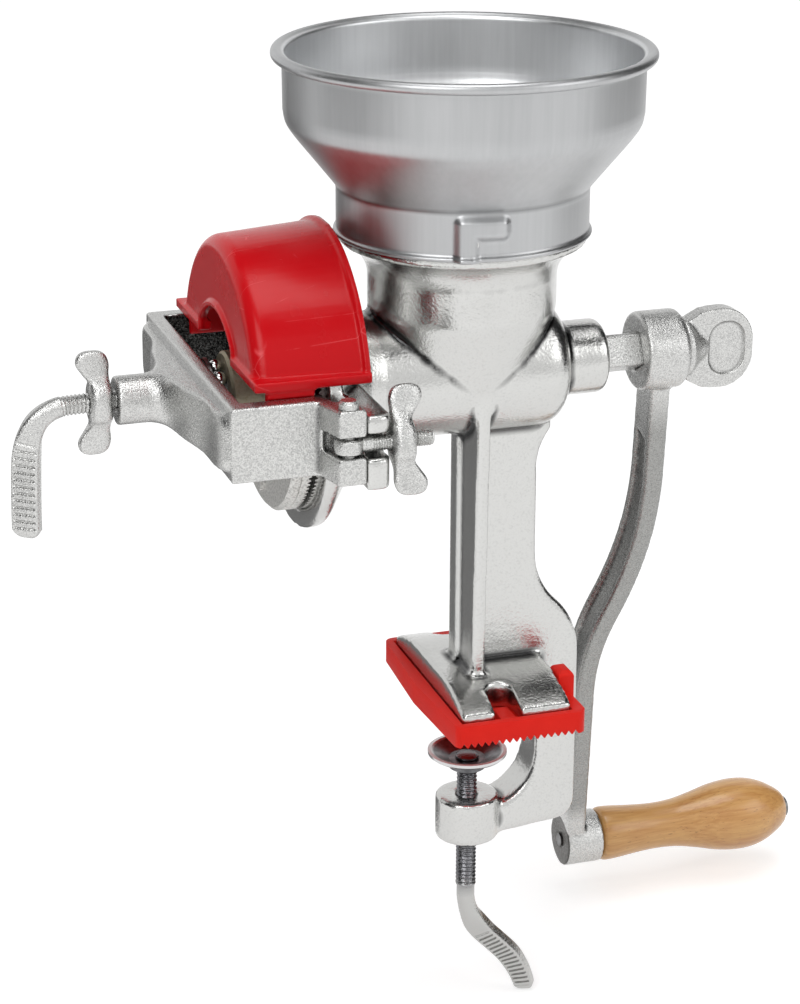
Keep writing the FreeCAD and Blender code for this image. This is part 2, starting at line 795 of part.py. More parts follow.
round_edges(yoke, "top_edge", size.yoke_edge, on_yoke_top, "Chamfer", "Size")
flare_reaches = [14.7, 11.2, 8.2, 5.7, 3.5, 1.5, -0.8]
flare_spreads = [0, 0.039, 0.216, 0.447, 0.722, 0.961, 0.991]
flare_rises = [0, 0.3, 0.7, 1, 1.3, 1.5, 1.6]
flare_rounds = [4.3, 4.1, 3.5, 2.5, 1.5, 0.5, 0]
flare_sections = []
for number, reach in enumerate(flare_reaches):
    section = sketch_on(yoke, "flare" + str(number), "YZ_Plane", -(size.yoke_outer + reach))
    widening = size.yoke_half_width - size.yoke_boss_radius
    half_width = size.yoke_boss_radius + widening * flare_spreads[number]
    half_height = size.yoke_boss_radius + flare_rises[number]
    rounded(section, as_size(0), as_size(0), half_width, half_height,
        size.flare_corner + flare_rounds[number])
    flare_sections.append(section)
loft(yoke, flare_sections, "flare")
yoke_boss = sketch_on(yoke, "boss", "YZ_Plane", -size.yoke_boss_end)
circle(yoke_boss, 0, 0, size.yoke_boss_radius)
pad(yoke, yoke_boss, "boss_rod", 18)
yoke_bore = sketch_on(yoke, "bore", "XZ_Plane")
box(yoke_bore, -(size.yoke_boss_end + 1), 0, 1 - size.yoke_inner,
    size.adjusting_radius + size.running_clearance)
groove(yoke, yoke_bore, "boss_bore", "H_Axis")
clevis_cut = sketch_on(yoke, "clevis_cut", "XY_Plane")
for side in (-1, 1):
    box(clevis_cut, -(size.clevis_left + 2.6), side * (size.clevis_inside + 0.2), 1 - clevis_right,
        side * (size.clevis_reach + 2))
pocket(yoke, clevis_cut, "clevis_gaps", size.clevis_gap, symmetric=True)
hinge_holes = sketch_on(yoke, "hinge_holes", "XY_Plane")
for side in (-1, 1):
    circle(hinge_holes, -size.hinge_across, side * size.hinge_depth,
        size.hinge_radius + size.running_clearance)
pocket(yoke, hinge_holes, "hinge_bores", size.yoke_half_height * 2 + 2, symmetric=True)
place_on_head(yoke)

# Hinge pins, swing bolts and wing nuts on the near and far side


def hinge_pin(label, side):
    """Round pin with a low head on top of the clevis."""
    body = new_body(label)
    face = sketch_on(body, "profile", "XZ_Plane")
    head = size.yoke_half_height + size.pin_head_height
    outline(face, [
        (0, -size.yoke_half_height), (size.hinge_radius, -size.yoke_half_height),
        (size.hinge_radius, size.yoke_half_height),
        (size.pin_head_radius, size.yoke_half_height), (size.pin_head_radius, head - 1),
        (size.pin_head_radius - 1, head), (0, head)])
    revolve(body, face, "turned", "V_Axis")
    place_on_head(body, -size.hinge_across, side * size.hinge_depth)


def swing_bolt(label, side):
    """Bolt with an eye about the hinge pin."""
    body = new_body(label)
    eye = sketch_on(body, "eye", "XY_Plane")
    circle(eye, 0, 0, size.eye_radius)
    pad(body, eye, "eye_block", size.clevis_gap - size.side_clearance * 2, symmetric=True)
    rod = sketch_on(body, "rod", "YZ_Plane", size.hinge_radius + 0.5)
    circle(rod, 0, 0, size.bolt_radius)
    pad(body, rod, "rod_block", size.bolt_length - size.hinge_radius - 0.5)
    hole = sketch_on(body, "hole", "XY_Plane")
    circle(hole, 0, 0, size.hinge_radius + size.running_clearance)
    pocket(body, hole, "eye_bore", size.clevis_gap, symmetric=True)
    place_on_head(body, -size.hinge_across, side * size.hinge_depth)


def wing_nut(label, thread_radius):
    """Nut with two rounded wings, its inner face at the origin and its axis along the shaft."""
    body = new_body(label)
    hub = sketch_on(body, "hub", "XZ_Plane")
    outline(hub, [(0, 0), (0, size.nut_radius), (size.nut_length * 0.6, size.nut_radius),
        (size.nut_length, size.nut_radius - 1.6), (size.nut_length, 0)])
    revolve(body, hub, "hub_turned", "H_Axis")
    wings = sketch_on(body, "wings", "XZ_Plane")
    for side in (-1, 1):
        rounded(wings, size.wing_half_width + 0.4, side * (size.wing_reach - size.wing_half_height),
            size.wing_half_width,
                size.wing_half_height, size.wing_half_width - 0.6)
    pad(body, wings, "wing_plates", size.wing_thickness, symmetric=True)
    neck = sketch_on(body, "neck", "XZ_Plane")
    box(neck, as_size(1), -(size.wing_reach - size.wing_half_height), size.nut_length - 0.6,
        size.wing_reach - size.wing_half_height)
    pad(body, neck, "neck_plate", size.wing_thickness, symmetric=True)
    hole = sketch_on(body, "hole", "XZ_Plane")
    box(hole, as_size(-1), 0, size.wing_half_width * 2 + 2, thread_radius + size.running_clearance)
    groove(body, hole, "thread_bore", "H_Axis")
    return body


hinge_pin("near_hinge_pin", -1)
hinge_pin("far_hinge_pin", 1)
swing_bolt("near_eyebolt", -1)
swing_bolt("far_eyebolt", 1)
near_nut = wing_nut("near_wing_nut", size.bolt_radius)
place_on_head(near_nut, ear_right + size.nut_gap, -size.hinge_depth, 0, size.near_nut_turn)
far_nut = wing_nut("far_wing_nut", size.bolt_radius)
place_on_head(far_nut, ear_right + size.nut_gap, size.hinge_depth, 0, size.far_nut_turn)

# Adjusting screw with a bent thumb paddle, its lock nut and the thrust bearing
adjuster = new_body("adjusting_screw")
adjuster_rod = sketch_on(adjuster, "rod", "YZ_Plane", -size.screw_bend)
circle(adjuster_rod, 0, 0, size.adjusting_radius)
pad(adjuster, adjuster_rod, "rod_block", size.screw_bend - size.screw_tip)
adjuster_bend = sketch_on(adjuster, "bend", "YZ_Plane", -size.screw_bend, -size.screw_bend_round)
circle(adjuster_bend, 0, size.screw_bend_round, size.adjusting_radius)
revolve(adjuster, adjuster_bend, "bend_turned", "H_Axis", 90, backward=True)
paddle_axis = -(size.screw_bend + size.screw_bend_round + 1.8)
paddle_low = -(size.screw_bend_round + size.paddle_length)
adjuster_paddle = sketch_on(adjuster, "paddle", "XZ_Plane")
outline(adjuster_paddle, [
    (paddle_axis + 5.8, -8.5), (paddle_axis - 2, -8.5), (paddle_axis - 4.2, -13),
    (paddle_axis - size.paddle_half_width, -26, 90),
    (paddle_axis - size.paddle_half_width - 1, paddle_low + 5, 5.2),
    (paddle_axis - 1, paddle_low, 6.2), (paddle_axis + size.paddle_half_width - 1, paddle_low + 5.5, -90),
    (paddle_axis + size.paddle_half_width, -20)])
pad(adjuster, adjuster_paddle, "paddle_plate", size.paddle_thickness, symmetric=True)
place_on_head(adjuster)

lock_nut = wing_nut("lock_wing_nut", size.adjusting_radius)
place_on_head(lock_nut, -(size.yoke_boss_end + size.lock_nut_gap))
lock_nut.Placement.Rotation = FreeCAD.Rotation(Vector(0, 0, 1), 180)

ball_count = 8
thrust_washer = new_body("thrust_washer")
washer_face = sketch_on(thrust_washer, "face", "YZ_Plane", -size.thrust_left)
circle(washer_face, 0, 0, size.thrust_radius)
pad(thrust_washer, washer_face, "disc", size.thrust_thickness)
place_on_head(thrust_washer)

ball_across = size.thrust_thickness - size.thrust_left + size.ball_radius + 0.05
balls = []
for number in range(ball_count):
    angle = 2 * math.pi * number / ball_count
    ball = document.addObject("Part::Sphere", "thrust_ball" + str(number))
    bind(ball, "Radius", size.ball_radius)
    place_on_head(ball, ball_across, size.ball_circle * math.cos(angle), size.ball_circle * math.sin(angle))
    balls.append(ball)
ball_ring = document.addObject("Part::Compound", "thrust_balls")
ball_ring.Links = balls
ball_ring.Label = "thrust_balls"
pieces.append(ball_ring)

# Rotor: feed screw, plate carrier with its hub, turning plate, drive pin and rivets
hub_end = ball_across + size.ball_radius + size.side_clearance
rotor = new_body("feed_screw")
spindle = sketch_on(rotor, "spindle", "XZ_Plane")
core_left = -size.flight_start
core_right = size.flight_length - size.flight_start + 4
outline(spindle, [
    (hub_end + 1, 0), (hub_end + 1, size.spindle_radius), (core_left, size.spindle_radius),
    (core_left, size.core_radius),
    (core_right, size.core_radius), (core_right, size.journal_radius),
    (size.bearing_end + 0.5, size.journal_radius), (size.bearing_end + 0.5, 0)])
revolve(rotor, spindle, "spindle_turned", "H_Axis")
drive = sketch_on(rotor, "drive", "YZ_Plane", size.bearing_end)
rounded(drive, as_size(0), as_size(0), size.drive_half, size.drive_half, size.drive_corner)
pad(rotor, drive, "drive_square", size.drive_end - size.bearing_end)
flight = sketch_on(rotor, "flight", "XZ_Plane")
box(flight, -size.flight_start, size.core_radius - 1.5, size.flight_thickness - size.flight_start,
    size.flight_radius)
flight_turns = feature(rotor, "AdditiveHelix", flight, "flight_turns")
flight_turns.ReferenceAxis = (flight, ["H_Axis"])
flight_turns.Mode = 0
bind(flight_turns, "Pitch", size.flight_pitch)
bind(flight_turns, "Height", size.flight_length - size.flight_thickness)
flight_turns.Reversed = False
thumb_hole = sketch_on(rotor, "thumb_hole", "XZ_Plane")
box(thumb_hole, size.drive_end - 12, 0, size.drive_end + 1,
    size.thumb_screw_radius + size.running_clearance)
groove(rotor, thumb_hole, "thumb_bore", "H_Axis")
pin_across = -(size.carrier_left + 7)
pin_hole = sketch_on(rotor, "pin_hole", "XY_Plane")
circle(pin_hole, pin_across, 0, size.drive_pin_radius + size.running_clearance)
pocket(rotor, pin_hole, "pin_bore", size.hub_radius * 2 + 2, symmetric=True)
place_on_head(rotor, 0, 0, 0, size.crank_turn + size.drive_turn)

carrier = new_body("plate_carrier")
carrier_face = sketch_on(carrier, "profile", "XZ_Plane")
carrier_right = size.carrier_thickness - size.carrier_left
carrier_bore = size.spindle_radius + size.running_clearance
outline(carrier_face, [
    (hub_end, carrier_bore), (hub_end, size.hub_radius - 1), (hub_end + 1, size.hub_radius),
    (-(size.carrier_left + 3), size.hub_radius),
    (-size.carrier_left, size.hub_radius + 3), (-size.carrier_left, size.plate_radius - 1.5),
    (1.5 - size.carrier_left, size.plate_radius),
    (carrier_right, size.plate_radius), (carrier_right, carrier_bore)])
revolve(carrier, carrier_face, "turned", "H_Axis")
carrier_pin = sketch_on(carrier, "pin_hole", "XY_Plane")
circle(carrier_pin, pin_across, 0, size.drive_pin_radius + size.running_clearance)
pocket(carrier, carrier_pin, "pin_bore", size.hub_radius * 2 + 2, symmetric=True)
carrier_rivets = sketch_on(carrier, "rivet_holes", "YZ_Plane", carrier_right + 1)
screw_circles(carrier_rivets, size.rivet_circle, size.rivet_radius + size.running_clearance)
pocket(carrier, carrier_rivets, "rivet_bores", size.carrier_thickness + 2)
place_on_head(carrier, 0, 0, 0, size.crank_turn + size.drive_turn)

turning_plate = new_body("rotating_plate")
turning_ring = sketch_on(turning_plate, "ring", "YZ_Plane", carrier_right)
circle(turning_ring, 0, 0, size.plate_radius)
circle(turning_ring, 0, 0, size.hub_radius)
pad(turning_plate, turning_ring, "disc", size.turning_plate_thickness)
turning_rivets = sketch_on(turning_plate, "rivet_holes", "YZ_Plane",
    carrier_right + size.turning_plate_thickness + 1)
screw_circles(turning_rivets, size.rivet_circle, size.rivet_radius + size.running_clearance)
pocket(turning_plate, turning_rivets, "rivet_bores", size.turning_plate_thickness + 2)
place_on_head(turning_plate, 0, 0, 0, size.crank_turn + size.drive_turn)

rivets = new_body("carrier_screws")
rivet_shanks = sketch_on(rivets, "shanks", "YZ_Plane", -size.carrier_left)
screw_circles(rivet_shanks, size.rivet_circle, size.rivet_radius)
pad(rivets, rivet_shanks, "shank_group", size.carrier_thickness + size.turning_plate_thickness - 1)
rivet_heads = sketch_on(rivets, "heads", "YZ_Plane", -size.carrier_left)
screw_circles(rivet_heads, size.rivet_circle, size.rivet_head_radius)
pad(rivets, rivet_heads, "head_group", size.rivet_head_height, backward=True)
place_on_head(rivets, 0, 0, 0, size.crank_turn + size.drive_turn)

drive_pin = new_body("drive_pin")
drive_pin_face = sketch_on(drive_pin, "face", "XY_Plane")
circle(drive_pin_face, pin_across, 0, size.drive_pin_radius)
pad(drive_pin, drive_pin_face, "rod", (size.hub_radius - 0.5) * 2, symmetric=True)
place_on_head(drive_pin, 0, 0, 0, size.crank_turn + size.drive_turn)

# Crank arm: hub on the square drive, bent ribbed arm, boss for the handle
arm = new_body("crank_arm")
hub_face = sketch_on(arm, "hub", "XZ_Plane")
outline(hub_face, [
    (size.crank_left, 0), (size.crank_left, size.crank_hub_radius - 1),
    (size.crank_left + 1, size.crank_hub_radius),
    (size.crank_right - 2, size.crank_hub_radius), (size.crank_right, size.crank_hub_radius - 2),
    (size.crank_right, 0)])
revolve(arm, hub_face, "hub_turned", "H_Axis")


def turning(center, point):
    """The angle at which a point stands about a centre."""
    return math.atan2(point.y - center.y, point.x - center.x)


def arm_path(name, start, end):
    """The middle line of the arm between two levels below the shaft: a straight piece, two opposite
    bends and a second straight piece beside the first."""
    sketch = sketch_on(arm, name, "XZ_Plane")
    upper_round = size.arm_upper_round.value
    lower_round = size.arm_lower_round.value
    down = Vector(size.arm_lean.value, -1, 0).normalize()
    inward = Vector(down.y, -down.x, 0)
    offset = (size.arm_upper_line - size.arm_lower_line).value * abs(down.y)
    bend = math.acos(1 - offset / (upper_round + lower_round))
    corners = [
        (size.arm_upper_line + size.arm_lean * start, -start),
        (size.arm_upper_line + size.arm_lean * size.arm_bend_start, -size.arm_bend_start),
        (size.arm_lower_line + size.arm_lean * end, -end)]
    first, begin, last = [Vector(across.value, level.value, 0) for across, level in corners]
    upper_center = begin + inward * upper_round
    half_way = upper_center + down * (upper_round * math.sin(bend)) - inward * (upper_round * math.cos(bend))
    lower_center = half_way + (half_way - upper_center) * (lower_round / upper_round)
    finish = lower_center + inward * lower_round
    upper_circle = Part.Circle(upper_center, Vector(0, 0, 1), upper_round)
    lower_circle = Part.Circle(lower_center, Vector(0, 0, 1), lower_round)
    upper_angles = (turning(upper_center, half_way), turning(upper_center, begin))
    lower_angles = (turning(lower_center, half_way), turning(lower_center, finish))
    sketch.addGeometry(Part.LineSegment(first, begin), False)
    sketch.addGeometry(Part.ArcOfCircle(upper_circle, *upper_angles), False)
    sketch.addGeometry(Part.ArcOfCircle(lower_circle, *lower_angles), False)
    sketch.addGeometry(Part.LineSegment(finish, last), False)
    for joint in ((0, 2, 1, 2), (1, 1, 2, 1), (2, 2, 3, 1)):
        sketch.addConstraint(Sketcher.Constraint("Tangent", *joint))
    sketch.addConstraint(Sketcher.Constraint("Parallel", 0, 3))
    constrain(sketch, "Radius", (1,), size.arm_upper_round)
    constrain(sketch, "Radius", (2,), size.arm_lower_round)
    for corner, line_end in zip(corners, ((0, 1), (0, 2), (3, 2))):
        constrain(sketch, "DistanceX", (-1, 1) + line_end, corner[0])
        constrain(sketch, "DistanceY", (-1, 1) + line_end, corner[1])
    return sketch


def sweep(body, section, path, name, kind):
    """A section carried along a path."""
    made = feature(body, kind, section, name)
    made.Spine = (path, ["Edge1", "Edge2", "Edge3", "Edge4"])
    return made


arm_section = sketch_on(arm, "section", "XY_Plane", -size.arm_top)
rounded(arm_section, size.arm_upper_line + size.arm_lean * size.arm_top, as_size(0),
    size.arm_half_thickness, size.arm_half_width, size.arm_edge_round)
sweep(arm, arm_section, arm_path("path", size.arm_top, size.crank_length), "bar", "AdditivePipe")
for side, name in ((-1, "inner"), (1, "outer")):
    groove_section = sketch_on(arm, name + "_groove_section", "XY_Plane", -size.arm_groove_start)
    groove_axis = size.arm_upper_line + size.arm_lean * size.arm_groove_start + side * size.arm_half_thickness
    rounded(groove_section, groove_axis, as_size(0), size.arm_groove,
        size.arm_half_width - size.arm_border, size.arm_groove / 2)
    groove_path = arm_path(name + "_groove_path", size.arm_groove_start, size.arm_groove_end)
    sweep(arm, groove_section, groove_path, name + "_groove", "SubtractivePipe")
boss_face = sketch_on(arm, "boss", "YZ_Plane", size.crank_boss_left)
circle(boss_face, 0, -size.crank_length, size.crank_boss_radius)
pad(arm, boss_face, "boss_block", size.crank_boss_right - size.crank_boss_left)
boss_hole = sketch_on(arm, "boss_hole", "YZ_Plane", size.crank_boss_right + 1)
circle(boss_hole, 0, -size.crank_length, size.handle_bolt_radius + size.running_clearance)
pocket(arm, boss_hole, "boss_bore", size.crank_boss_right - size.crank_boss_left + 2)
drive_hole = sketch_on(arm, "drive_hole", "YZ_Plane", size.crank_right + 1)
drive_hole.AttachmentOffset = FreeCAD.Placement(Vector(0, 0, 0), FreeCAD.Rotation(Vector(0, 0, 1), 45))
rounded(drive_hole, as_size(0), as_size(0), size.drive_half + size.running_clearance,
    size.drive_half + size.running_clearance, size.drive_corner)
pocket(arm, drive_hole, "drive_bore", size.crank_right - size.crank_left + 2)
place_on_head(arm, 0, 0, 0, size.crank_turn)

# Thumb screw that holds the crank on the drive
thumb_left = size.crank_right + size.side_clearance
thumb = new_body("crank_thumb_screw")
thumb_profile = sketch_on(thumb, "profile", "XZ_Plane")
outline(thumb_profile, [
    (size.drive_end - 11, 0), (size.drive_end - 11, size.thumb_screw_radius),
    (thumb_left, size.thumb_screw_radius),
    (thumb_left, size.thumb_collar_radius), (thumb_left + 2.5, size.thumb_collar_radius),
    (thumb_left + 6, size.thumb_collar_radius - 4),
    (thumb_left + 12, size.thumb_thickness / 2), (thumb_left + 12, 0)])
revolve(thumb, thumb_profile, "collar_turned", "H_Axis")
thumb_right = thumb_left + size.thumb_reach
thumb_plate = sketch_on(thumb, "plate", "XZ_Plane")
outline(thumb_plate, [
    (thumb_left + 2, -(size.thumb_neck_half + size.thumb_drop)),
    (thumb_left + 9, 0.6 - size.thumb_half_height - size.thumb_drop),
    (thumb_right - 13.6, -(size.thumb_half_height + size.thumb_drop), size.thumb_round),
    (thumb_right, -(size.thumb_drop + 3)),
    (thumb_right, 3 - size.thumb_drop, size.thumb_round),
    (thumb_right - 13.6, size.thumb_half_height - size.thumb_drop),
    (thumb_left + 9, size.thumb_half_height - size.thumb_drop - 0.6),
    (thumb_left + 2, size.thumb_neck_half - size.thumb_drop)])
pad(thumb, thumb_plate, "head_plate", size.thumb_thickness, symmetric=True)
for side, name in ((-1, "near"), (1, "far")):
    dish = sketch_on(thumb, name + "_dish", "XZ_Plane", -side * (size.thumb_thickness / 2))
    rounded(dish, thumb_left + size.thumb_dish_across, -size.thumb_drop, size.thumb_dish_half_width,
            size.thumb_dish_half_height, size.thumb_dish_half_width - 0.4)
    pocket(thumb, dish, name + "_dish_cut", size.thumb_dish, backward=side > 0)
place_on_head(thumb)

# Wooden handle on its bolt
grip_left = size.crank_boss_right + size.side_clearance
grip = new_body("handle_grip")
grip_profile = sketch_on(grip, "profile", "XZ_Plane")
grip_right = grip_left + size.grip_length
grip_bore = size.handle_bolt_radius + size.running_clearance
outline(grip_profile, [
    (grip_left, grip_bore), (grip_left, size.grip_end_radius - 1.5, -1.6),
    (grip_left + 1.5, size.grip_end_radius, size.grip_waist_round),
    (grip_left + 45, size.grip_shoulder_radius, -size.grip_bulb_round),
    (grip_right - 3, size.grip_tip_radius + 2.6, -4),
    (grip_right, size.grip_tip_radius - 1.4), (grip_right, grip_bore)])
revolve(grip, grip_profile, "turned", "H_Axis")


def place_on_crank(item):
    """Put a piece on the handle end of the crank, turned with the crank."""
    place_on_head(item, 0, 0, 0, size.crank_turn)
    length = size.crank_length.text
    angle = size.crank_turn.text + " * 1 deg"
    bind(item, "Placement.Base.y", Size(0, "(" + length + " * sin(" + angle + "))"))
    drop = "(" + size.shaft_height.text + " - " + length + " * cos(" + angle + "))"
    bind(item, "Placement.Base.z", Size(0, drop))


place_on_crank(grip)
handle_bolt = new_body("handle_bolt")
bolt_profile = sketch_on(handle_bolt, "profile", "XZ_Plane")
bolt_seat = grip_right + size.side_clearance
outline(bolt_profile, [
    (size.crank_boss_left - 0.6, 0), (size.crank_boss_left - 0.6, size.handle_bolt_radius),
    (bolt_seat, size.handle_bolt_radius),
    (bolt_seat, size.bolt_head_radius), (bolt_seat + size.bolt_head_height - 0.6, size.bolt_head_radius),
    (bolt_seat + size.bolt_head_height, size.bolt_head_radius - 1), (bolt_seat + size.bolt_head_height, 0)])
revolve(handle_bolt, bolt_profile, "turned", "H_Axis")
place_on_crank(handle_bolt)

# Hopper: sheet bowl with a rolled rim and a collar with a pressed hook
hopper = new_body("hopper")
bowl = sketch_on(hopper, "bowl", "XZ_Plane")
inner = size.sheet_thickness
collar_top = size.lip_height + size.collar_height
outline(bowl, [
    (size.collar_radius, size.lip_height), (size.collar_radius, collar_top),
    (size.cone_radius, size.cone_height, size.shoulder_round),
    (size.bowl_radius, size.bowl_floor), (size.bowl_radius + 0.3, size.rim_centre),
    (size.bowl_radius + 0.3 - inner, size.rim_centre),
    (size.bowl_radius - inner, size.bowl_floor, inner - size.shoulder_round),
    (size.cone_radius - 0.9, size.cone_height + 0.8),
    (size.collar_radius - inner, collar_top + 0.4), (size.collar_radius - inner, size.lip_height)])
revolve(hopper, bowl, "bowl_turned", "V_Axis")
roll = sketch_on(hopper, "roll", "XZ_Plane")
circle(roll, size.rim_roll_radius, size.rim_centre, size.rim_roll)
revolve(hopper, roll, "roll_turned", "V_Axis")
hook_outer = size.collar_radius + size.hook_rise
hook_leg = sketch_on(hopper, "hook_leg", "YZ_Plane")
box(hook_leg, -hook_outer, size.lip_height, size.sheet_thickness / 2 - size.collar_radius, size.hook_top)
revolve(hopper, hook_leg, "hook_leg_turned", "V_Axis", size.hook_angle, symmetric=True)
hook_arm = sketch_on(hopper, "hook_arm", "YZ_Plane")
box(hook_arm, -hook_outer, size.hook_top - size.hook_arm_height,
    size.sheet_thickness / 2 - size.collar_radius, size.hook_top)
revolve(hopper, hook_arm, "hook_arm_turned", "V_Axis", size.hook_arm_angle)
hook_inside = sketch_on(hopper, "hook_inside", "YZ_Plane")
box(hook_inside, size.sheet_thickness - hook_outer, size.lip_height - 1,
    size.sheet_thickness - size.collar_radius + 1, size.pin_stud_height + 5)
groove(hopper, hook_inside, "hook_channel", "V_Axis", size.hook_angle - 4, symmetric=True)
place_on_head(hopper, 0, 0, 0, size.hook_turn, upright)

# Guard cover: plastic hood over the plates, its lip on the yoke arms and its skirts between them
cover = new_body("guard_cover")
hood = sketch_on(cover, "hood", "XZ_Plane")
outline(hood, [
    (-size.cover_left, 0), (-size.cover_left, size.cover_radius_left - size.cover_round, -size.cover_round),
    (size.cover_round - size.cover_left, size.cover_radius_left),
    (-(size.cover_right + 2.4), size.cover_radius_right),
    (-(size.cover_right + 2.4), size.cover_radius_right + size.cover_bead),
    (-size.cover_right, size.cover_radius_right + size.cover_bead),
    (-size.cover_right, 0)])
revolve(cover, hood, "hood_turned", "H_Axis")
hollow = sketch_on(cover, "hollow", "XZ_Plane")
outline(hollow, [
    (size.cover_wall - size.cover_left, 0),
    (size.cover_wall - size.cover_left, size.cover_radius_left - size.cover_round,
    size.cover_wall - size.cover_round),
    (size.cover_round - size.cover_left, size.cover_radius_left - size.cover_wall),
    (-(size.cover_right + 2.4), size.cover_radius_right - size.cover_wall),
    (1 - size.cover_right, size.cover_radius_right - size.cover_wall), (1 - size.cover_right, 0)])
groove(cover, hollow, "hood_hollow", "H_Axis")
underside = sketch_on(cover, "underside", "XY_Plane", size.yoke_half_height + 0.5)
box(underside, -(size.cover_left + 5), -80, 5 - size.cover_right, 80)
pocket(cover, underside, "underside_cut", 90)
lip = sketch_on(cover, "lip", "XY_Plane", size.yoke_half_height)
lip_inside = size.cover_lip_half - 5
lip_left = size.cover_left + size.cover_bead
outline(lip, [
    (-lip_left, -size.cover_lip_half), (-size.cover_right, -size.cover_lip_half),
    (-size.cover_right, -lip_inside),
    (-(size.cover_left - 4), -lip_inside), (-(size.cover_left - 4), lip_inside),
    (-size.cover_right, lip_inside),
    (-size.cover_right, size.cover_lip_half), (-lip_left, size.cover_lip_half)])
pad(cover, lip, "lip_rail", size.cover_lip_height)
step = sketch_on(cover, "step", "XY_Plane", size.yoke_half_height - size.cover_lift)
skirt_outside = size.yoke_half_inside - size.wall_clearance
for side in (-1, 1):
    box(step, -(size.cover_left - 3), side * (skirt_outside - size.cover_wall), -(size.yoke_arm_end + 2),
        side * size.step_half)
pad(cover, step, "step_rails", size.cover_lift + 1)
skirts = sketch_on(cover, "skirts", "XY_Plane", size.yoke_half_height + 1)
for side in (-1, 1):
    box(skirts, -(size.cover_left - 3), side * (skirt_outside - size.cover_wall), -(size.yoke_arm_end + 2),
        side * skirt_outside)
pad(cover, skirts, "skirt_plates", size.cover_lift + size.skirt_depth + 1, backward=True)
arch = sketch_on(cover, "arch", "YZ_Plane", -(size.cover_left - 8))
arch_rise = size.arch_height - 20
arch_radius = (size.arch_half * size.arch_half + arch_rise * arch_rise) / (arch_rise * 2)
outline(arch, [
    (-size.arch_half, 8), (size.arch_half, 8), (size.arch_half, size.arch_height - arch_rise, arch_radius),
    (-size.arch_half, size.arch_height - arch_rise)])
pocket(cover, arch, "arch_cut", 16)
place_on_head(cover, 0, 0, size.cover_lift)

# Table clamp: screw with a bent thumb paddle and a dished washer
clamp_washer = new_body("clamp_washer")
dish_profile = sketch_on(clamp_washer, "profile", "XZ_Plane")
hub_under = -(size.washer_floor + size.washer_hub_height)
neck_bore = size.neck_radius + size.running_clearance
outline(dish_profile, [
    (neck_bore, hub_under), (size.washer_hub_radius, hub_under),
    (size.washer_hub_radius, -(size.washer_floor + size.washer_thickness)),
    (size.washer_radius - 0.8, -(size.washer_rim + size.washer_thickness)),
    (size.washer_radius, 0.8 - size.washer_rim - size.washer_thickness),
    (size.washer_radius, -size.washer_rim), (size.washer_radius - 1.4, -size.washer_rim),
    (size.washer_hub_radius, -size.washer_floor),
    (neck_bore, -size.washer_floor)])
revolve(clamp_washer, dish_profile, "turned", "V_Axis")

clamp_screw = new_body("clamp_screw")
clamp_thread_end = size.clamp_boss_under - size.shaft_height + size.clamp_thread_run
clamp_bend = clamp_thread_end + size.clamp_bend_drop
screw_profile = sketch_on(clamp_screw, "profile", "XZ_Plane")
peen = size.side_clearance - size.washer_floor
outline(screw_profile, [
    (0, -clamp_bend), (size.clamp_shank_radius, -clamp_bend),
    (size.clamp_shank_radius, -(clamp_thread_end + 1)),
    (size.clamp_screw_radius, -clamp_thread_end),
    (size.clamp_screw_radius, hub_under - size.side_clearance),
    (size.neck_radius, hub_under - size.side_clearance), (size.neck_radius, peen),
    (size.neck_radius + 2, peen),
    (size.neck_radius + 2, peen + 1), (size.neck_radius, peen + 2), (0, peen + 2)])
revolve(clamp_screw, screw_profile, "turned", "V_Axis")
tail = sketch_on(clamp_screw, "tail", "XZ_Plane")
tail_drop = -clamp_bend
outline(tail, [
    (-size.clamp_shank_radius, tail_drop + 3), (-size.clamp_shank_radius, tail_drop - 1, 40),
    (6.8, tail_drop - 21.5),
    (17.3, tail_drop - 33, -45), (23.3, tail_drop - 46, 3.9), (30.6, tail_drop - 44, 42),
    (21.2, tail_drop - 23.5), (9.8, tail_drop - 12, -20), (size.clamp_shank_radius, tail_drop - 1),
    (size.clamp_shank_radius, tail_drop + 3)])
pad(clamp_screw, tail, "tail_plate", size.clamp_paddle_thickness, symmetric=True)

document.recompute()
for item in document.Objects:
    if "Invalid" in item.State or "Error" in item.State:
        raise RuntimeError(item.Name + " did not build")
for piece in pieces:
    if piece.Shape.isNull() or not piece.Shape.isValid() or not piece.Shape.Solids:
        raise RuntimeError(piece.Label + " has no valid solid")
os.makedirs("parts", exist_ok=True)
for piece in pieces:
    piece.Shape.exportStep("parts/" + piece.Label + ".step")
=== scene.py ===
import math

import bmesh
import bpy
import numpy as np
from mathutils import Matrix, Vector


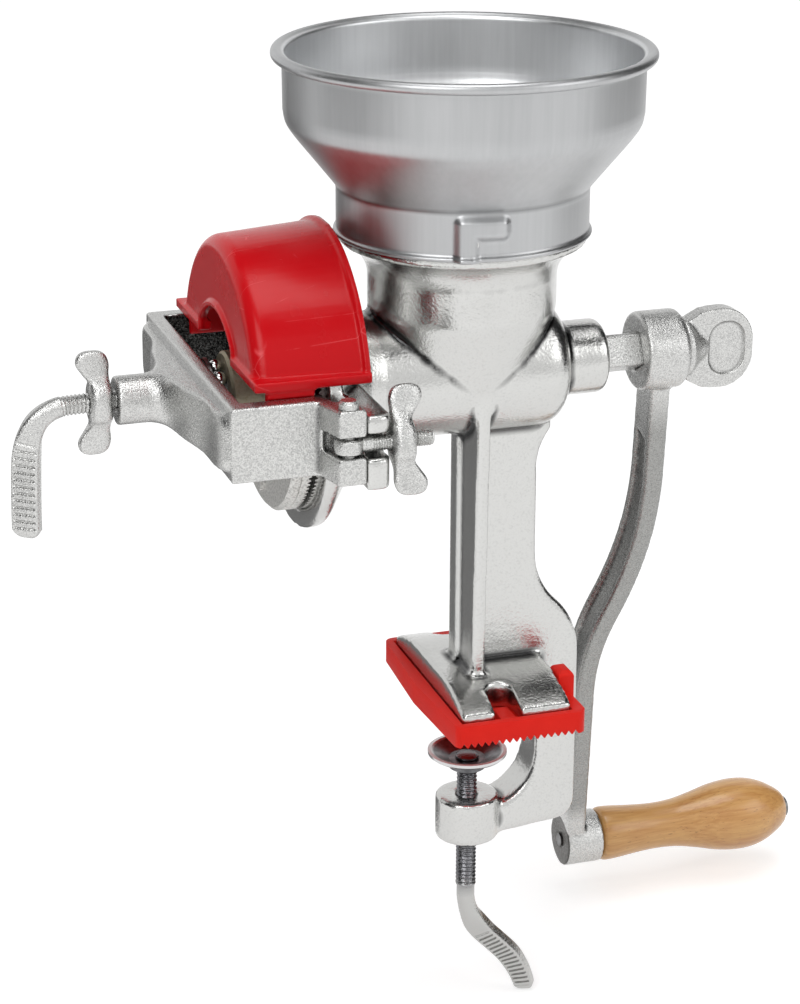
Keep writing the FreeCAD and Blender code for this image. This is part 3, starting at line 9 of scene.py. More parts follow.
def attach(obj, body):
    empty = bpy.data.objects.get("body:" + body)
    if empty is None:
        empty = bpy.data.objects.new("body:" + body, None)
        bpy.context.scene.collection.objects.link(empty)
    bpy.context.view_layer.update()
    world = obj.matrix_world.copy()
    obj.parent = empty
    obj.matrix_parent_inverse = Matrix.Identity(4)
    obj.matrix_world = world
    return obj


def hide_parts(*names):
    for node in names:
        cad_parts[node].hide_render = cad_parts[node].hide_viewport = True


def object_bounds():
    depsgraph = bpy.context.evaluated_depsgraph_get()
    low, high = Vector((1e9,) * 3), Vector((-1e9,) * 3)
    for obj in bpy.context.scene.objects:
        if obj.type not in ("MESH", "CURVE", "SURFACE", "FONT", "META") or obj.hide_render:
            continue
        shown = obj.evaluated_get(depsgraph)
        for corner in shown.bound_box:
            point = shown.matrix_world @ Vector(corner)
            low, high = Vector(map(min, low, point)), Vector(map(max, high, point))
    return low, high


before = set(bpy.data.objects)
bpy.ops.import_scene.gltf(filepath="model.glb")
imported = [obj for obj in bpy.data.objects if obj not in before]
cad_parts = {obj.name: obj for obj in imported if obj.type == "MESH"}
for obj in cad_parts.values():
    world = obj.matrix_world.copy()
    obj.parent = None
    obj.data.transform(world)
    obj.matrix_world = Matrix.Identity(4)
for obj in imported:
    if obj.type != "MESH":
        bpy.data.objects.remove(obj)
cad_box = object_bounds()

scene = bpy.context.scene


# Body casting: barrel, throat, plate flange, column, foot and clamp frame in one piece of
# sand-cast iron, dipped in molten tin. The sand leaves its edges round, and the tin sets
# over it as a bright skin with fine wrinkles.
def linear(code):
    """A written sRGB colour as the linear one that shaders take: channel c becomes c / 12.92
    up to 0.04045 and ((c + 0.055) / 1.055) to the power 2.4 above it."""
    channels = np.array([int(code[start:start + 2], 16) for start in (1, 3, 5)]) / 255
    light = np.where(channels <= 0.04045, channels / 12.92, ((channels + 0.055) / 1.055) ** 2.4)
    return (*light.tolist(), 1.0)


def add_node(tree, kind, settings, sockets):
    """One shader node: settings are its properties, and each socket gets a value or another node's output."""
    node = tree.nodes.new("ShaderNode" + kind)
    for name, value in settings.items():
        setattr(node, name, value)
    for key, value in sockets.items():
        if isinstance(value, bpy.types.NodeSocket):
            tree.links.new(value, node.inputs[key])
        else:
            node.inputs[key].default_value = value
    return node


def new_finish(name, colour, metal, roughness):
    """A material with its shader at one colour, metal share and roughness, ready for its pattern."""
    material = bpy.data.materials.new(name)
    material.use_nodes = True
    shader = material.node_tree.nodes["Principled BSDF"]
    shader.inputs["Base Color"].default_value = linear(colour)
    shader.inputs["Metallic"].default_value = metal
    shader.inputs["Roughness"].default_value = roughness
    return material, material.node_tree, shader


def cast(piece, voxel, rounds):
    """The piece with its corners cast round: its solid is redrawn on a net of voxels of that size in
    millimetres, and each point then moves half way to the mean of its neighbours, that many times. The
    points keep a value, hollow: how far in millimetres the mean of their neighbours stands out of the
    surface, which is above nothing in the creases."""
    net = piece.modifiers.new("voxels", "REMESH")
    net.mode = "VOXEL"
    net.voxel_size = voxel / 1000
    net.use_smooth_shade = True
    worn = piece.modifiers.new("worn", "SMOOTH")
    worn.factor = 0.5
    worn.iterations = rounds
    view = bpy.context.evaluated_depsgraph_get()
    mesh = bpy.data.meshes.new_from_object(piece.evaluated_get(view))
    piece.modifiers.clear()
    piece.data = mesh
    count = len(mesh.vertices)
    points = np.empty(count * 3)
    normals = np.empty(count * 3)
    edges = np.empty(len(mesh.edges) * 2, dtype=int)
    mesh.vertices.foreach_get("co", points)
    mesh.vertex_normals.foreach_get("vector", normals)
    mesh.edges.foreach_get("vertices", edges)
    points, normals, edges = points.reshape(-1, 3) * 1000, normals.reshape(-1, 3), edges.reshape(-1, 2)
    near, other = np.concatenate([edges, edges[:, ::-1]]).T
    neighbours = np.bincount(near, minlength=count)
    sums = [np.bincount(near, points[other, axis], count) for axis in range(3)]
    mean = np.stack(sums, -1) / neighbours[:, None]
    hollow = ((mean - points) * normals).sum(1)
    for _ in range(2):
        hollow = 0.5 * hollow + 0.5 * np.bincount(near, hollow[other], count) / neighbours
    mesh.attributes.new("hollow", "FLOAT", "POINT").data.foreach_set("value", hollow)
    return piece


def merged(node):
    """A copy of a CAD piece with its loose triangles joined."""
    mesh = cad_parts[node].data.copy()
    shape = bmesh.new()
    shape.from_mesh(mesh)
    bmesh.ops.remove_doubles(shape, verts=shape.verts, dist=2e-6)
    shape.to_mesh(mesh)
    shape.free()
    piece = bpy.data.objects.new("cast_" + node, mesh)
    scene.collection.objects.link(piece)
    return piece


def fit(piece, finish, body, slot, *nodes):
    """Give a new piece its finish and let it stand for its CAD nodes on their body."""
    piece.data.materials.clear()
    piece.data.materials.append(finish)
    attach(piece, body)
    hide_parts(*nodes)


def dress(node, finish):
    """Give a CAD piece its finish."""
    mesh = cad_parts[node].data
    mesh.materials.clear()
    mesh.materials.append(finish)


bright_tin, tree, shader = new_finish("tinned_casting", "#C2C2C0", 1.0, 0.21)
place = add_node(tree, "TexCoord", {}, {}).outputs["Object"]
# pits of the sand about 0.9 mm across, which dull the tin a little
pits = add_node(tree, "TexNoise", {}, {"Vector": place, "Scale": 1 / 0.0009, "Detail": 2.0})
tones = add_node(tree, "ValToRGB", {}, {0: pits.outputs[0]})
tones.color_ramp.elements[0].position = 0.3
tones.color_ramp.elements[0].color = linear("#BEBEBC")
tones.color_ramp.elements[1].position = 0.48
tones.color_ramp.elements[1].color = linear("#C6C6C4")
# painted shade: the creases are painted dark, more so the deeper they are
crease = add_node(tree, "Attribute", {"attribute_name": "hollow"}, {})
shade = add_node(tree, "MapRange", {}, {
    0: crease.outputs["Fac"], "From Min": 0.014, "From Max": 0.07, "To Max": 0.95})
skin = add_node(tree, "MixRGB", {}, {
    "Fac": shade.outputs[0], "Color1": tones.outputs[0], "Color2": linear("#262627")})
tree.links.new(skin.outputs[0], shader.inputs["Base Color"])
# swells of the mould about 6 mm apart under wrinkles of the tin about 1.1 mm apart
swells = add_node(tree, "TexNoise", {}, {"Vector": place, "Scale": 1 / 0.006, "Detail": 1.0})
wrinkles = add_node(tree, "TexNoise", {}, {"Vector": place, "Scale": 1 / 0.0011, "Detail": 3.0})
low = add_node(tree, "Bump", {}, {"Height": swells.outputs[0], "Strength": 0.3, "Distance": 0.0005})
high = add_node(tree, "Bump", {}, {
    "Height": wrinkles.outputs[0], "Strength": 0.55, "Distance": 0.00025, "Normal": low.outputs[0]})
tree.links.new(high.outputs[0], shader.inputs["Normal"])
casting = cast(merged("body_casting"), 1.25, 5)
fit(casting, bright_tin, "mill_body", "tinned_casting", "body_casting")
dress("bayonet_pin", bright_tin)

# Base pad: a soft plastic tray pushed under the foot, moulded in a bright matt red, with
# ridges below that grip the table top.
pad_red, tree, shader = new_finish("red_pad_plastic", "#E62219", 0.0, 0.5)
shader.inputs["Specular IOR Level"].default_value = 0.15
place = add_node(tree, "TexCoord", {}, {}).outputs["Object"]
# a fine moulded grain about 0.6 mm apart, and handling marks about 9 mm apart
grain = add_node(tree, "TexNoise", {}, {"Vector": place, "Scale": 1 / 0.0006, "Detail": 2.0})
marks = add_node(tree, "TexNoise", {}, {"Vector": place, "Scale": 1 / 0.009, "Detail": 4.0})
gloss = add_node(tree, "MapRange", {}, {0: marks.outputs[0], "To Min": 0.36, "To Max": 0.55})
tree.links.new(gloss.outputs[0], shader.inputs["Roughness"])
tones = add_node(tree, "ValToRGB", {}, {0: marks.outputs[0]})
tones.color_ramp.elements[0].color = linear("#DE1E16")
tones.color_ramp.elements[1].color = linear("#EC2A1E")
tree.links.new(tones.outputs[0], shader.inputs["Base Color"])
bump = add_node(tree, "Bump", {}, {"Height": grain.outputs[0], "Strength": 0.2, "Distance": 0.0001})
tree.links.new(bump.outputs[0], shader.inputs["Normal"])
pad = merged("base_pad")
eased = pad.modifiers.new("eased", "BEVEL")
eased.width = 0.0004
eased.segments = 2
eased.limit_method = "ANGLE"
eased.angle_limit = math.radians(35)
view = bpy.context.evaluated_depsgraph_get()
pad.data = bpy.data.meshes.new_from_object(pad.evaluated_get(view))
pad.modifiers.clear()
pad.data.shade_smooth()
pad.data.set_sharp_from_angle(angle=math.radians(50))
fit(pad, pad_red, "mill_body", "red_pad_plastic", "base_pad")


# Grinding plates: two rings of hard cast iron with teeth cut across their facing sides. One is
# screwed to the flange, and the other is riveted to a carrier that turns with the shaft.
def surface(name, points, ring):
    """A mesh over a grid of points in millimetres: rows run along the piece and columns round its section,
    the last column joins the first, and so does the last row of a ring. Points that meet at a pole are
    merged, and the faces are turned outwards."""
    rows, columns = points.shape[:2]
    index = np.arange(rows * columns).reshape(rows, columns)
    if ring:
        index = np.vstack([index, index[:1]])
    here, there = index[:-1], index[1:]
    faces = np.stack([here, np.roll(here, -1, 1), np.roll(there, -1, 1), there], -1).reshape(-1, 4)
    mesh = bpy.data.meshes.new(name)
    mesh.from_pydata(points.reshape(-1, 3) / 1000, [], faces.tolist())
    shape = bmesh.new()
    shape.from_mesh(mesh)
    bmesh.ops.remove_doubles(shape, verts=shape.verts, dist=1e-6)
    bmesh.ops.recalc_face_normals(shape, faces=shape.faces)
    shape.to_mesh(mesh)
    shape.free()
    mesh.shade_smooth()
    mesh.set_sharp_from_angle(angle=math.radians(38))
    piece = bpy.data.objects.new(name, mesh)
    scene.collection.objects.link(piece)
    return piece


# the middle of the barrel, in millimetres
shaft = np.array([-4.7, 0.0, 140.0])
tooth_depth = 1.1
teeth = 120


def toothed_plate(name, back, face, bore, rim):
    """A ring turned about the shaft from a closed profile of (radius, place along the shaft); on the face
    each point sinks by the tooth depth times a saw wave of the angle, from nothing at the bore to the
    full depth at the rim."""
    outward = np.sign(face - back)
    radius = np.array([bore, bore, rim - 0.6, rim, rim, rim * 0.9, rim * 0.75, bore + 4])
    along = np.array([face, back, back, back + outward * 0.6, face, face, face, face])
    depth = np.array([0, 0, 0, 0, 1, 1, 0.8, 0.2]) * tooth_depth
    angle = np.linspace(0, 2 * np.pi, teeth * 8, endpoint=False)[:, None]
    saw = np.clip(np.abs((angle * teeth / (2 * np.pi) + radius * 0.06) % 1 - 0.5) * 4 - 0.5, 0, 1)
    places = along - outward * depth * saw
    grid = np.stack([places + 0 * angle, radius * np.cos(angle), radius * np.sin(angle)], -1)
    return surface(name, grid + shaft, True)


plate_iron, tree, shader = new_finish("plate_iron", "#C2C1BE", 1.0, 0.52)
place = add_node(tree, "TexCoord", {}, {}).outputs["Object"]
# sand grain about 0.9 mm apart with darker pits
grain = add_node(tree, "TexNoise", {}, {"Vector": place, "Scale": 1 / 0.0009, "Detail": 3.0})
tones = add_node(tree, "ValToRGB", {}, {0: grain.outputs[0]})
tones.color_ramp.elements[0].position = 0.3
tones.color_ramp.elements[0].color = linear("#9E9D9A")
tones.color_ramp.elements[1].position = 0.55
tones.color_ramp.elements[1].color = linear("#D2D1CE")
tree.links.new(tones.outputs[0], shader.inputs["Base Color"])
bump = add_node(tree, "Bump", {}, {"Height": grain.outputs[0], "Strength": 0.5, "Distance": 0.0003})
tree.links.new(bump.outputs[0], shader.inputs["Normal"])
fixed_plate = toothed_plate("fixed_toothed_plate", -66.0, -71.0, 22.5, 47.5)
fit(fixed_plate, plate_iron, "mill_body", "plate_iron", "fixed_plate")
turning_plate = toothed_plate("turning_toothed_plate", -76.5, -72.5, 15.0, 47.5)
fit(turning_plate, plate_iron, "rotor", "plate_iron", "rotating_plate")
for node in ("carrier_screws", "fixed_plate_screws"):
    dress(node, plate_iron)
carrier_iron = plate_iron.copy()
carrier_iron.name = "oiled_carrier_iron"
tree = carrier_iron.node_tree
shader = tree.nodes["Principled BSDF"]
place = add_node(tree, "TexCoord", {}, {}).outputs["Object"]
# old oil has stained the hub brown, out to 17 mm from the shaft
level = add_node(tree, "VectorMath", {"operation": "MULTIPLY"}, {0: place, 1: (0, 1, 1)})
spread = add_node(tree, "VectorMath", {"operation": "DISTANCE"}, {0: level.outputs[0], 1: (0, 0, 0.14)})
hub = add_node(tree, "MapRange", {}, {
    0: spread.outputs["Value"], "From Min": 0.015, "From Max": 0.019, "To Min": 0.8, "To Max": 0.0})
iron = shader.inputs["Base Color"].links[0].from_socket
skin = add_node(tree, "MixRGB", {}, {"Fac": hub.outputs[0], "Color1": iron, "Color2": linear("#8F8266")})
tree.links.new(skin.outputs[0], shader.inputs["Base Color"])
dress("plate_carrier", carrier_iron)

# Feed screw and its thrust bearing: a cast spindle with a helical flight, squared at the crank
# end, a cross pin that drives the carrier, and loose steel balls that run on a hardened washer.
matt_tin, tree, shader = new_finish("tinned_fittings", "#C2C2C0", 1.0, 0.3)
place = add_node(tree, "TexCoord", {}, {}).outputs["Object"]
# a sandy grain, really about 0.4 mm apart, drawn 0.55 mm apart so that it shows
grain = add_node(tree, "TexNoise", {}, {"Vector": place, "Scale": 1 / 0.00055, "Detail": 2.0})
tones = add_node(tree, "ValToRGB", {}, {0: grain.outputs[0]})
tones.color_ramp.elements[0].position = 0.3
tones.color_ramp.elements[0].color = linear("#A8A8A7")
tones.color_ramp.elements[1].position = 0.6
tones.color_ramp.elements[1].color = linear("#CCCCCA")
# painted shade: the creases are painted dark, more so the deeper they are
crease = add_node(tree, "Attribute", {"attribute_name": "hollow"}, {})
shade = add_node(tree, "MapRange", {}, {
    0: crease.outputs["Fac"], "From Min": 0.012, "From Max": 0.07, "To Max": 0.9})
skin = add_node(tree, "MixRGB", {}, {
    "Fac": shade.outputs[0], "Color1": tones.outputs[0], "Color2": linear("#2A2A2A")})
tree.links.new(skin.outputs[0], shader.inputs["Base Color"])
gloss = add_node(tree, "MapRange", {}, {0: grain.outputs[0], "To Min": 0.34, "To Max": 0.2})
tree.links.new(gloss.outputs[0], shader.inputs["Roughness"])
bump = add_node(tree, "Bump", {}, {"Height": grain.outputs[0], "Strength": 0.8, "Distance": 0.0003})
tree.links.new(bump.outputs[0], shader.inputs["Normal"])
dress("feed_screw", matt_tin)

dark_steel, tree, shader = new_finish("dark_steel", "#6E6E6F", 1.0, 0.32)
place = add_node(tree, "TexCoord", {}, {}).outputs["Object"]
# oil-stained patches about 4 mm across
stains = add_node(tree, "TexNoise", {}, {"Vector": place, "Scale": 1 / 0.004, "Detail": 4.0})
tones = add_node(tree, "ValToRGB", {}, {0: stains.outputs[0]})
tones.color_ramp.elements[0].position = 0.3
tones.color_ramp.elements[0].color = linear("#4B4A48")
tones.color_ramp.elements[1].position = 0.7
tones.color_ramp.elements[1].color = linear("#8A8A8B")
tree.links.new(tones.outputs[0], shader.inputs["Base Color"])
gloss = add_node(tree, "MapRange", {}, {0: stains.outputs[0], "To Min": 0.2, "To Max": 0.45})
tree.links.new(gloss.outputs[0], shader.inputs["Roughness"])
for node in ("drive_pin", "thrust_washer"):
    dress(node, dark_steel)
ball_steel, tree, shader = new_finish("polished_steel", "#D6D6D6", 1.0, 0.07)
place = add_node(tree, "TexCoord", {}, {}).outputs["Object"]
# a thin film of grease in drops about 1.5 mm across
film = add_node(tree, "TexNoise", {}, {"Vector": place, "Scale": 1 / 0.0015, "Detail": 2.0})
gloss = add_node(tree, "MapRange", {}, {
    0: film.outputs[0], "From Min": 0.4, "From Max": 0.7, "To Min": 0.05, "To Max": 0.3})
tree.links.new(gloss.outputs[0], shader.inputs["Roughness"])
dress("thrust_balls", ball_steel)

# Yoke: a cast bridge round the plates that takes their thrust, with a flared boss for the
# adjusting screw. Two headed pins through its clevises carry the swing bolts.
yoke_tin = matt_tin.copy()
yoke_tin.name = "tinned_yoke"
tree = yoke_tin.node_tree
shader = tree.nodes["Principled BSDF"]
place = add_node(tree, "TexCoord", {}, {}).outputs["Object"]
split = add_node(tree, "SeparateXYZ", {}, {0: place})
# painted shade: the inside is painted near black, where little light gets in under the cover: right of the
# wall at 108.6 mm and within 58.2 mm of the middle
aside = add_node(tree, "Math", {"operation": "ABSOLUTE"}, {0: split.outputs["Y"]})
between = add_node(tree, "Math", {"operation": "LESS_THAN"}, {0: aside.outputs[0], 1: 0.0582})
within = add_node(tree, "Math", {"operation": "GREATER_THAN"}, {0: split.outputs["X"], 1: -0.1086})
inner = add_node(tree, "Math", {"operation": "MULTIPLY"}, {0: between.outputs[0], 1: within.outputs[0]})
# sand grain about 0.8 mm apart
grain = add_node(tree, "TexNoise", {}, {"Vector": place, "Scale": 1 / 0.0008, "Detail": 2.0})
inner_shade = add_node(tree, "ValToRGB", {}, {0: grain.outputs[0]})
inner_shade.color_ramp.elements[0].position = 0.4
inner_shade.color_ramp.elements[0].color = linear("#161616")
inner_shade.color_ramp.elements[1].position = 0.65
inner_shade.color_ramp.elements[1].color = linear("#5A5A59")
tin = shader.inputs["Base Color"].links[0].from_socket
skin = add_node(tree, "MixRGB", {}, {"Fac": inner.outputs[0], "Color1": tin, "Color2": inner_shade.outputs[0]})
tree.links.new(skin.outputs[0], shader.inputs["Base Color"])
yoke = cast(merged("yoke"), 0.72, 5)
fit(yoke, yoke_tin, "mill_body", "tinned_fittings", "yoke")
for node in ("near_hinge_pin", "far_hinge_pin"):
    dress(node, matt_tin)


# Swing bolts and wing nuts: each bolt turns on its hinge pin by an eye and drops into a slotted
# ear of the body, where a cast wing nut draws the yoke tight.
def curve_through(knots, count):
    """A smooth line through its knots: between two of them each coordinate is the cubic whose slope at a
    knot is half the step from the knot before to the knot after."""
    knots = np.asarray(knots, float)
    padded = np.vstack([2 * knots[0] - knots[1], knots, 2 * knots[-1] - knots[-2]])
    place = np.linspace(0, len(knots) - 1, count)
    span = np.minimum(place.astype(int), len(knots) - 2)
    share = (place - span)[:, None]
    before, start, end, after = (padded[span + step] for step in range(4))
    return start + 0.5 * share * (end - before + share * (
        2 * before - 5 * start + 4 * end - after + share * (3 * (start - end) + after - before)))


def bar(path, half_width, half_depth, squareness, twist, thread, ribs):
    """The grid of a bar carried along a path in an upright plane: the section point at angle a lies
    half_width times |cos a| to the power 2 / squareness across the path and half_depth times |sin a| to
    the same power in depth, signs kept, and the section is turned about the path by the twist in degrees.
    A thread (depth, pitch) shrinks the section by a triangle wave that climbs one pitch a turn; ribs
    (depth, pitch) sink the middle of the near side by a wave along the path."""
    angle = np.linspace(0, 2 * np.pi, 48, endpoint=False)[None, :]
    steps = np.linalg.norm(np.diff(path, axis=0), axis=1)
    length = np.concatenate([[0], np.cumsum(steps)])[:, None]
    heading = np.gradient(path, axis=0)
    heading /= np.linalg.norm(heading, axis=1)[:, None]
    power = 2 / np.asarray(squareness, float)[:, None]
    wide = np.sign(np.cos(angle)) * np.abs(np.cos(angle)) ** power * np.asarray(half_width)[:, None]
    deep = np.sign(np.sin(angle)) * np.abs(np.sin(angle)) ** power * np.asarray(half_depth)[:, None]
    turn = (length / thread[1] + angle / (2 * np.pi)) % 1
    shrink = 1 - thread[0][:, None] * np.abs(turn * 2 - 1) / np.maximum(np.asarray(half_width)[:, None], 1e-6)
    wave = np.clip(np.abs((length / ribs[1]) % 1 - 0.5) * 6 - 1.6, 0, 1)
    middle = np.clip((0.86 - np.abs(np.cos(angle)) ** power) * 6, 0, 1) * (np.sin(angle) < 0)
    wide = wide * shrink
    deep = deep * shrink + ribs[0][:, None] * wave * middle
    lean = np.radians(np.asarray(twist, float))[:, None]
    across = np.stack([heading[:, 2], 0 * heading[:, 0], -heading[:, 0]], -1)
    grid = path[:, None, :] + across[:, None, :] * (wide * np.cos(lean) - deep * np.sin(lean))[:, :, None]
    grid[:, :, 1] += wide * np.sin(lean) + deep * np.cos(lean)
    return grid


hinge_along = -73.4
hinge_aside = 75.5
shaft_height = 140.0
bolt_nut_seat = -58.2
bolt_thread_depth = 0.45


def swing_bolt(side):
    """The bolt of one side: a threaded bar with closed ends, and an eye turned about the hinge pin from
    a closed profile of (radius, height)."""
    hinge = np.array([hinge_along, side * hinge_aside, shaft_height])
    reach = np.linspace(3.6, 31.7, 420)
    reach[[0, -1]] = reach[[1, -2]]
    path = hinge + np.stack([reach, 0 * reach, 0 * reach], -1)
    radius = np.clip(3.0 - np.clip(reach - 30.7, 0, 1) * 0.6, 0, 3)
    radius[[0, -1]] = 0
    cut = bolt_thread_depth * np.clip((reach - 8) / 1.0, 0, 1)
    cut[[0, -1]] = 0
    path[0, 0] -= 0.01
    path[-1, 0] += 0.01
    plain = np.zeros_like(reach)
    shank = surface("shank", bar(path, radius, radius, plain + 2, plain, (cut, 1.0), (plain, 1.0)), False)
    angle = np.linspace(0, 2 * np.pi, 64, endpoint=False)[:, None]
    out = np.array([2.56, 2.56, 4.2, 5.1, 5.4, 5.4, 5.1, 4.2])
    high = np.array([3.0, -3.0, -3.0, -2.4, -1.2, 1.2, 2.4, 3.0])
    grid = hinge + np.stack([out * np.cos(angle), out * np.sin(angle), high + 0 * angle], -1)
    name = ("near" if side < 0 else "far") + "_swing_bolt"
    eye = surface(name, grid, True)
    shape = bmesh.new()
    shape.from_mesh(eye.data)
    shape.from_mesh(shank.data)
    shape.to_mesh(eye.data)
    shape.free()
    bpy.data.objects.remove(shank)
    return eye


def wing_nut(name, seat, facing, turn, bore):
    """A cast nut with two wings: a bar along the wings, whose rows (place along the wings, inner edge, outer
    edge, half thickness) are drawn smoothly through knots, bored along the bolt and turned about it. The
    inner edge lies on the seat, and facing is the way along the shaft that the wings flare."""
    half = [(0, 0, 9.3, 7.4), (5, 0, 9.1, 6.6), (8, 0.6, 8.8, 4.2), (11, 0.9, 10.8, 2.7),
            (15, 0.7, 13.2, 2.4), (18.4, 1.9, 12.6, 2.2), (19.9, 4.2, 10.4, 1.5), (20.2, 7.2, 7.4, 0.1)]
    knots = [(-place, *rest) for place, *rest in half[:0:-1]] + half
    rows = curve_through(knots, 121)
    middle = (rows[:, 1] + rows[:, 2]) / 2
    path = np.stack([middle, 0 * middle, rows[:, 0]], -1)
    plain = np.zeros(len(rows))
    straight = np.stack([plain, plain, rows[:, 0]], -1)
    wide = np.maximum((rows[:, 2] - rows[:, 1]) / 2, 0.02)
    grid = bar(straight, wide, np.maximum(rows[:, 3], 0.02), plain + 3, plain, (plain, 1.0), (plain, 1.0))
    grid += (path - straight)[:, None, :]
    grid[[0, -1]] = grid[[0, -1]].mean(1, keepdims=True)
    grid = grid * (facing, 1, 1)
    lean = math.radians(turn)
    depth, height = grid[:, :, 1].copy(), grid[:, :, 2].copy()
    grid[:, :, 1] = depth * math.cos(lean) - height * math.sin(lean)
    grid[:, :, 2] = depth * math.sin(lean) + height * math.cos(lean)
    nut = surface(name, grid + seat, False)
    angle = np.linspace(0, 2 * np.pi, 48, endpoint=False)[None, :]
    along = np.array([-30.0, -30.0, 30.0, 30.0])[:, None]
    radius = np.array([0, bore, bore, 0])[:, None]
    drill = np.stack([along + 0 * angle, radius * np.cos(angle), radius * np.sin(angle)], -1)
    rod = surface("drill", seat + drill, False)
    drilled = nut.modifiers.new("drilled", "BOOLEAN")
    drilled.object = rod
    view = bpy.context.evaluated_depsgraph_get()
    nut.data = bpy.data.meshes.new_from_object(nut.evaluated_get(view))
    nut.modifiers.clear()
    bpy.data.objects.remove(rod)
    return cast(nut, 0.4, 3)


for side, name, turn in ((-1, "near", -14), (1, "far", 35)):
    bolt = swing_bolt(side)
    fit(bolt, matt_tin, name + "_bolt", "tinned_fittings", name + "_eyebolt")
    seat = np.array([bolt_nut_seat, side * hinge_aside, shaft_height])
    nut = wing_nut(name + "_butterfly", seat, 1, turn, 3.3)
    fit(nut, matt_tin, name + "_nut", "tinned_fittings", name + "_wing_nut")

# Adjusting screw: a threaded rod that presses the plates together, its outer end bent down and
# forged to a ribbed paddle. A wing nut on the thread locks it.
screw_path = curve_through([
    (-107.6, 0, 140), (-125, 0, 140), (-142, 0, 140), (-156, 0, 140), (-164, 0, 139.2), (-170.4, 0, 135.6),
    (-174.2, 0, 129.4), (-175.8, 0, 121), (-176.4, 0, 110), (-176.7, 0, 100), (-176.8, 0, 89.2)], 900)
travel = np.concatenate([[0], np.cumsum(np.linalg.norm(np.diff(screw_path, axis=0), axis=1))])
ends = np.sqrt(np.clip(np.minimum(travel / 1.0, (travel[-1] - travel) / 3.4), 0, 1))
spread = np.clip((travel - 56) / 30, 0, 1)
spread = spread * spread * (3 - 2 * spread)
screw_cut = 0.6 * np.clip((55 - travel) / 1.5, 0, 1)
rib_cut = 0.55 * np.clip((travel - 72) / 3, 0, 1) * np.clip((travel[-1] - 3.5 - travel) / 1, 0, 1)
half_width = (3.9 + 1.65 * spread) * ends ** 0.6
half_depth = (3.9 - 1.4 * spread) * ends
screw_grid = bar(screw_path, half_width, half_depth, 2 + 4 * spread, 36 * spread, (screw_cut, 1.5),
                 (rib_cut, 2.75))
screw = surface("adjusting_screw_bar", screw_grid, False)
fit(screw, matt_tin, "adjuster", "tinned_fittings", "adjusting_screw")
lock_seat = np.array([-142.9, 0, shaft_height])
lock = wing_nut("lock_butterfly", lock_seat, -1, 0, 4.2)
fit(lock, matt_tin, "lock_nut", "tinned_fittings", "lock_wing_nut")

# Crank: a cast arm with grooved sides on the square of the shaft, held by a cast thumb screw.
# The face of its handle boss is turned bare and has gone dark.
boss_face = (0.0718, 0.07522, -0.11233)
crank_tin = matt_tin.copy()
crank_tin.name = "tinned_crank"
tree = crank_tin.node_tree
shader = tree.nodes["Principled BSDF"]
place = add_node(tree, "TexCoord", {}, {}).outputs["Object"]
spread = add_node(tree, "VectorMath", {"operation": "DISTANCE"}, {0: place, 1: boss_face})
split = add_node(tree, "SeparateXYZ", {}, {0: place})
# the bare face lies within 12 mm of the boss axis and 0.4 mm of its plane
inside = add_node(tree, "Math", {"operation": "LESS_THAN"}, {0: spread.outputs["Value"], 1: 0.0120})
level = add_node(tree, "Math", {"operation": "LESS_THAN"}, {0: split.outputs["X"], 1: 0.0722})
bare = add_node(tree, "Math", {"operation": "MULTIPLY"}, {0: inside.outputs[0], 1: level.outputs[0]})
# turning marks about 0.7 mm apart round the axis
turned = add_node(tree, "Math", {"operation": "MULTIPLY"}, {
    0: spread.outputs["Value"], 1: 2 * math.pi / 0.0007})
rings = add_node(tree, "Math", {"operation": "SINE"}, {0: turned.outputs[0]})
iron = add_node(tree, "ValToRGB", {}, {0: rings.outputs[0]})
iron.color_ramp.elements[0].color = linear("#4A4946")
iron.color_ramp.elements[1].color = linear("#5C5A57")
tin = shader.inputs["Base Color"].links[0].from_socket
# painted shade: the arm is painted darker between its two bosses, from about 93 mm below the table top to 114
# mm above it
lower = add_node(tree, "MapRange", {}, {0: split.outputs["Z"], "From Min": -0.098, "From Max": -0.088})
upper = add_node(tree, "MapRange", {}, {
    0: split.outputs["Z"], "From Min": 0.104, "From Max": 0.124, "To Min": 1.0, "To Max": 0.0})
arm_shade = add_node(tree, "Math", {"operation": "MULTIPLY"}, {0: lower.outputs[0], 1: upper.outputs[0]})
shaded_arm = add_node(tree, "MixRGB", {"blend_type": "MULTIPLY"}, {
    "Fac": arm_shade.outputs[0], "Color1": tin, "Color2": linear("#C6C6C5")})
skin = add_node(tree, "MixRGB", {}, {
    "Fac": bare.outputs[0], "Color1": shaded_arm.outputs[0], "Color2": iron.outputs[0]})
tree.links.new(skin.outputs[0], shader.inputs["Base Color"])
arm = cast(merged("crank_arm"), 0.85, 5)
fit(arm, crank_tin, "rotor", "tinned_fittings", "crank_arm")
thumb = cast(merged("crank_thumb_screw"), 0.5, 9)
fit(thumb, matt_tin, "thumb_screw", "tinned_fittings", "crank_thumb_screw")

# Handle: a grip turned from pale hardwood and varnished, which spins on a steel bolt riveted
# into the crank.
wood, tree, shader = new_finish("varnished_wood", "#CF9C5E", 0.0, 0.42)
shader.inputs["Coat Weight"].default_value = 0.6
shader.inputs["Coat Roughness"].default_value = 0.14
place = add_node(tree, "TexCoord", {}, {}).outputs["Object"]
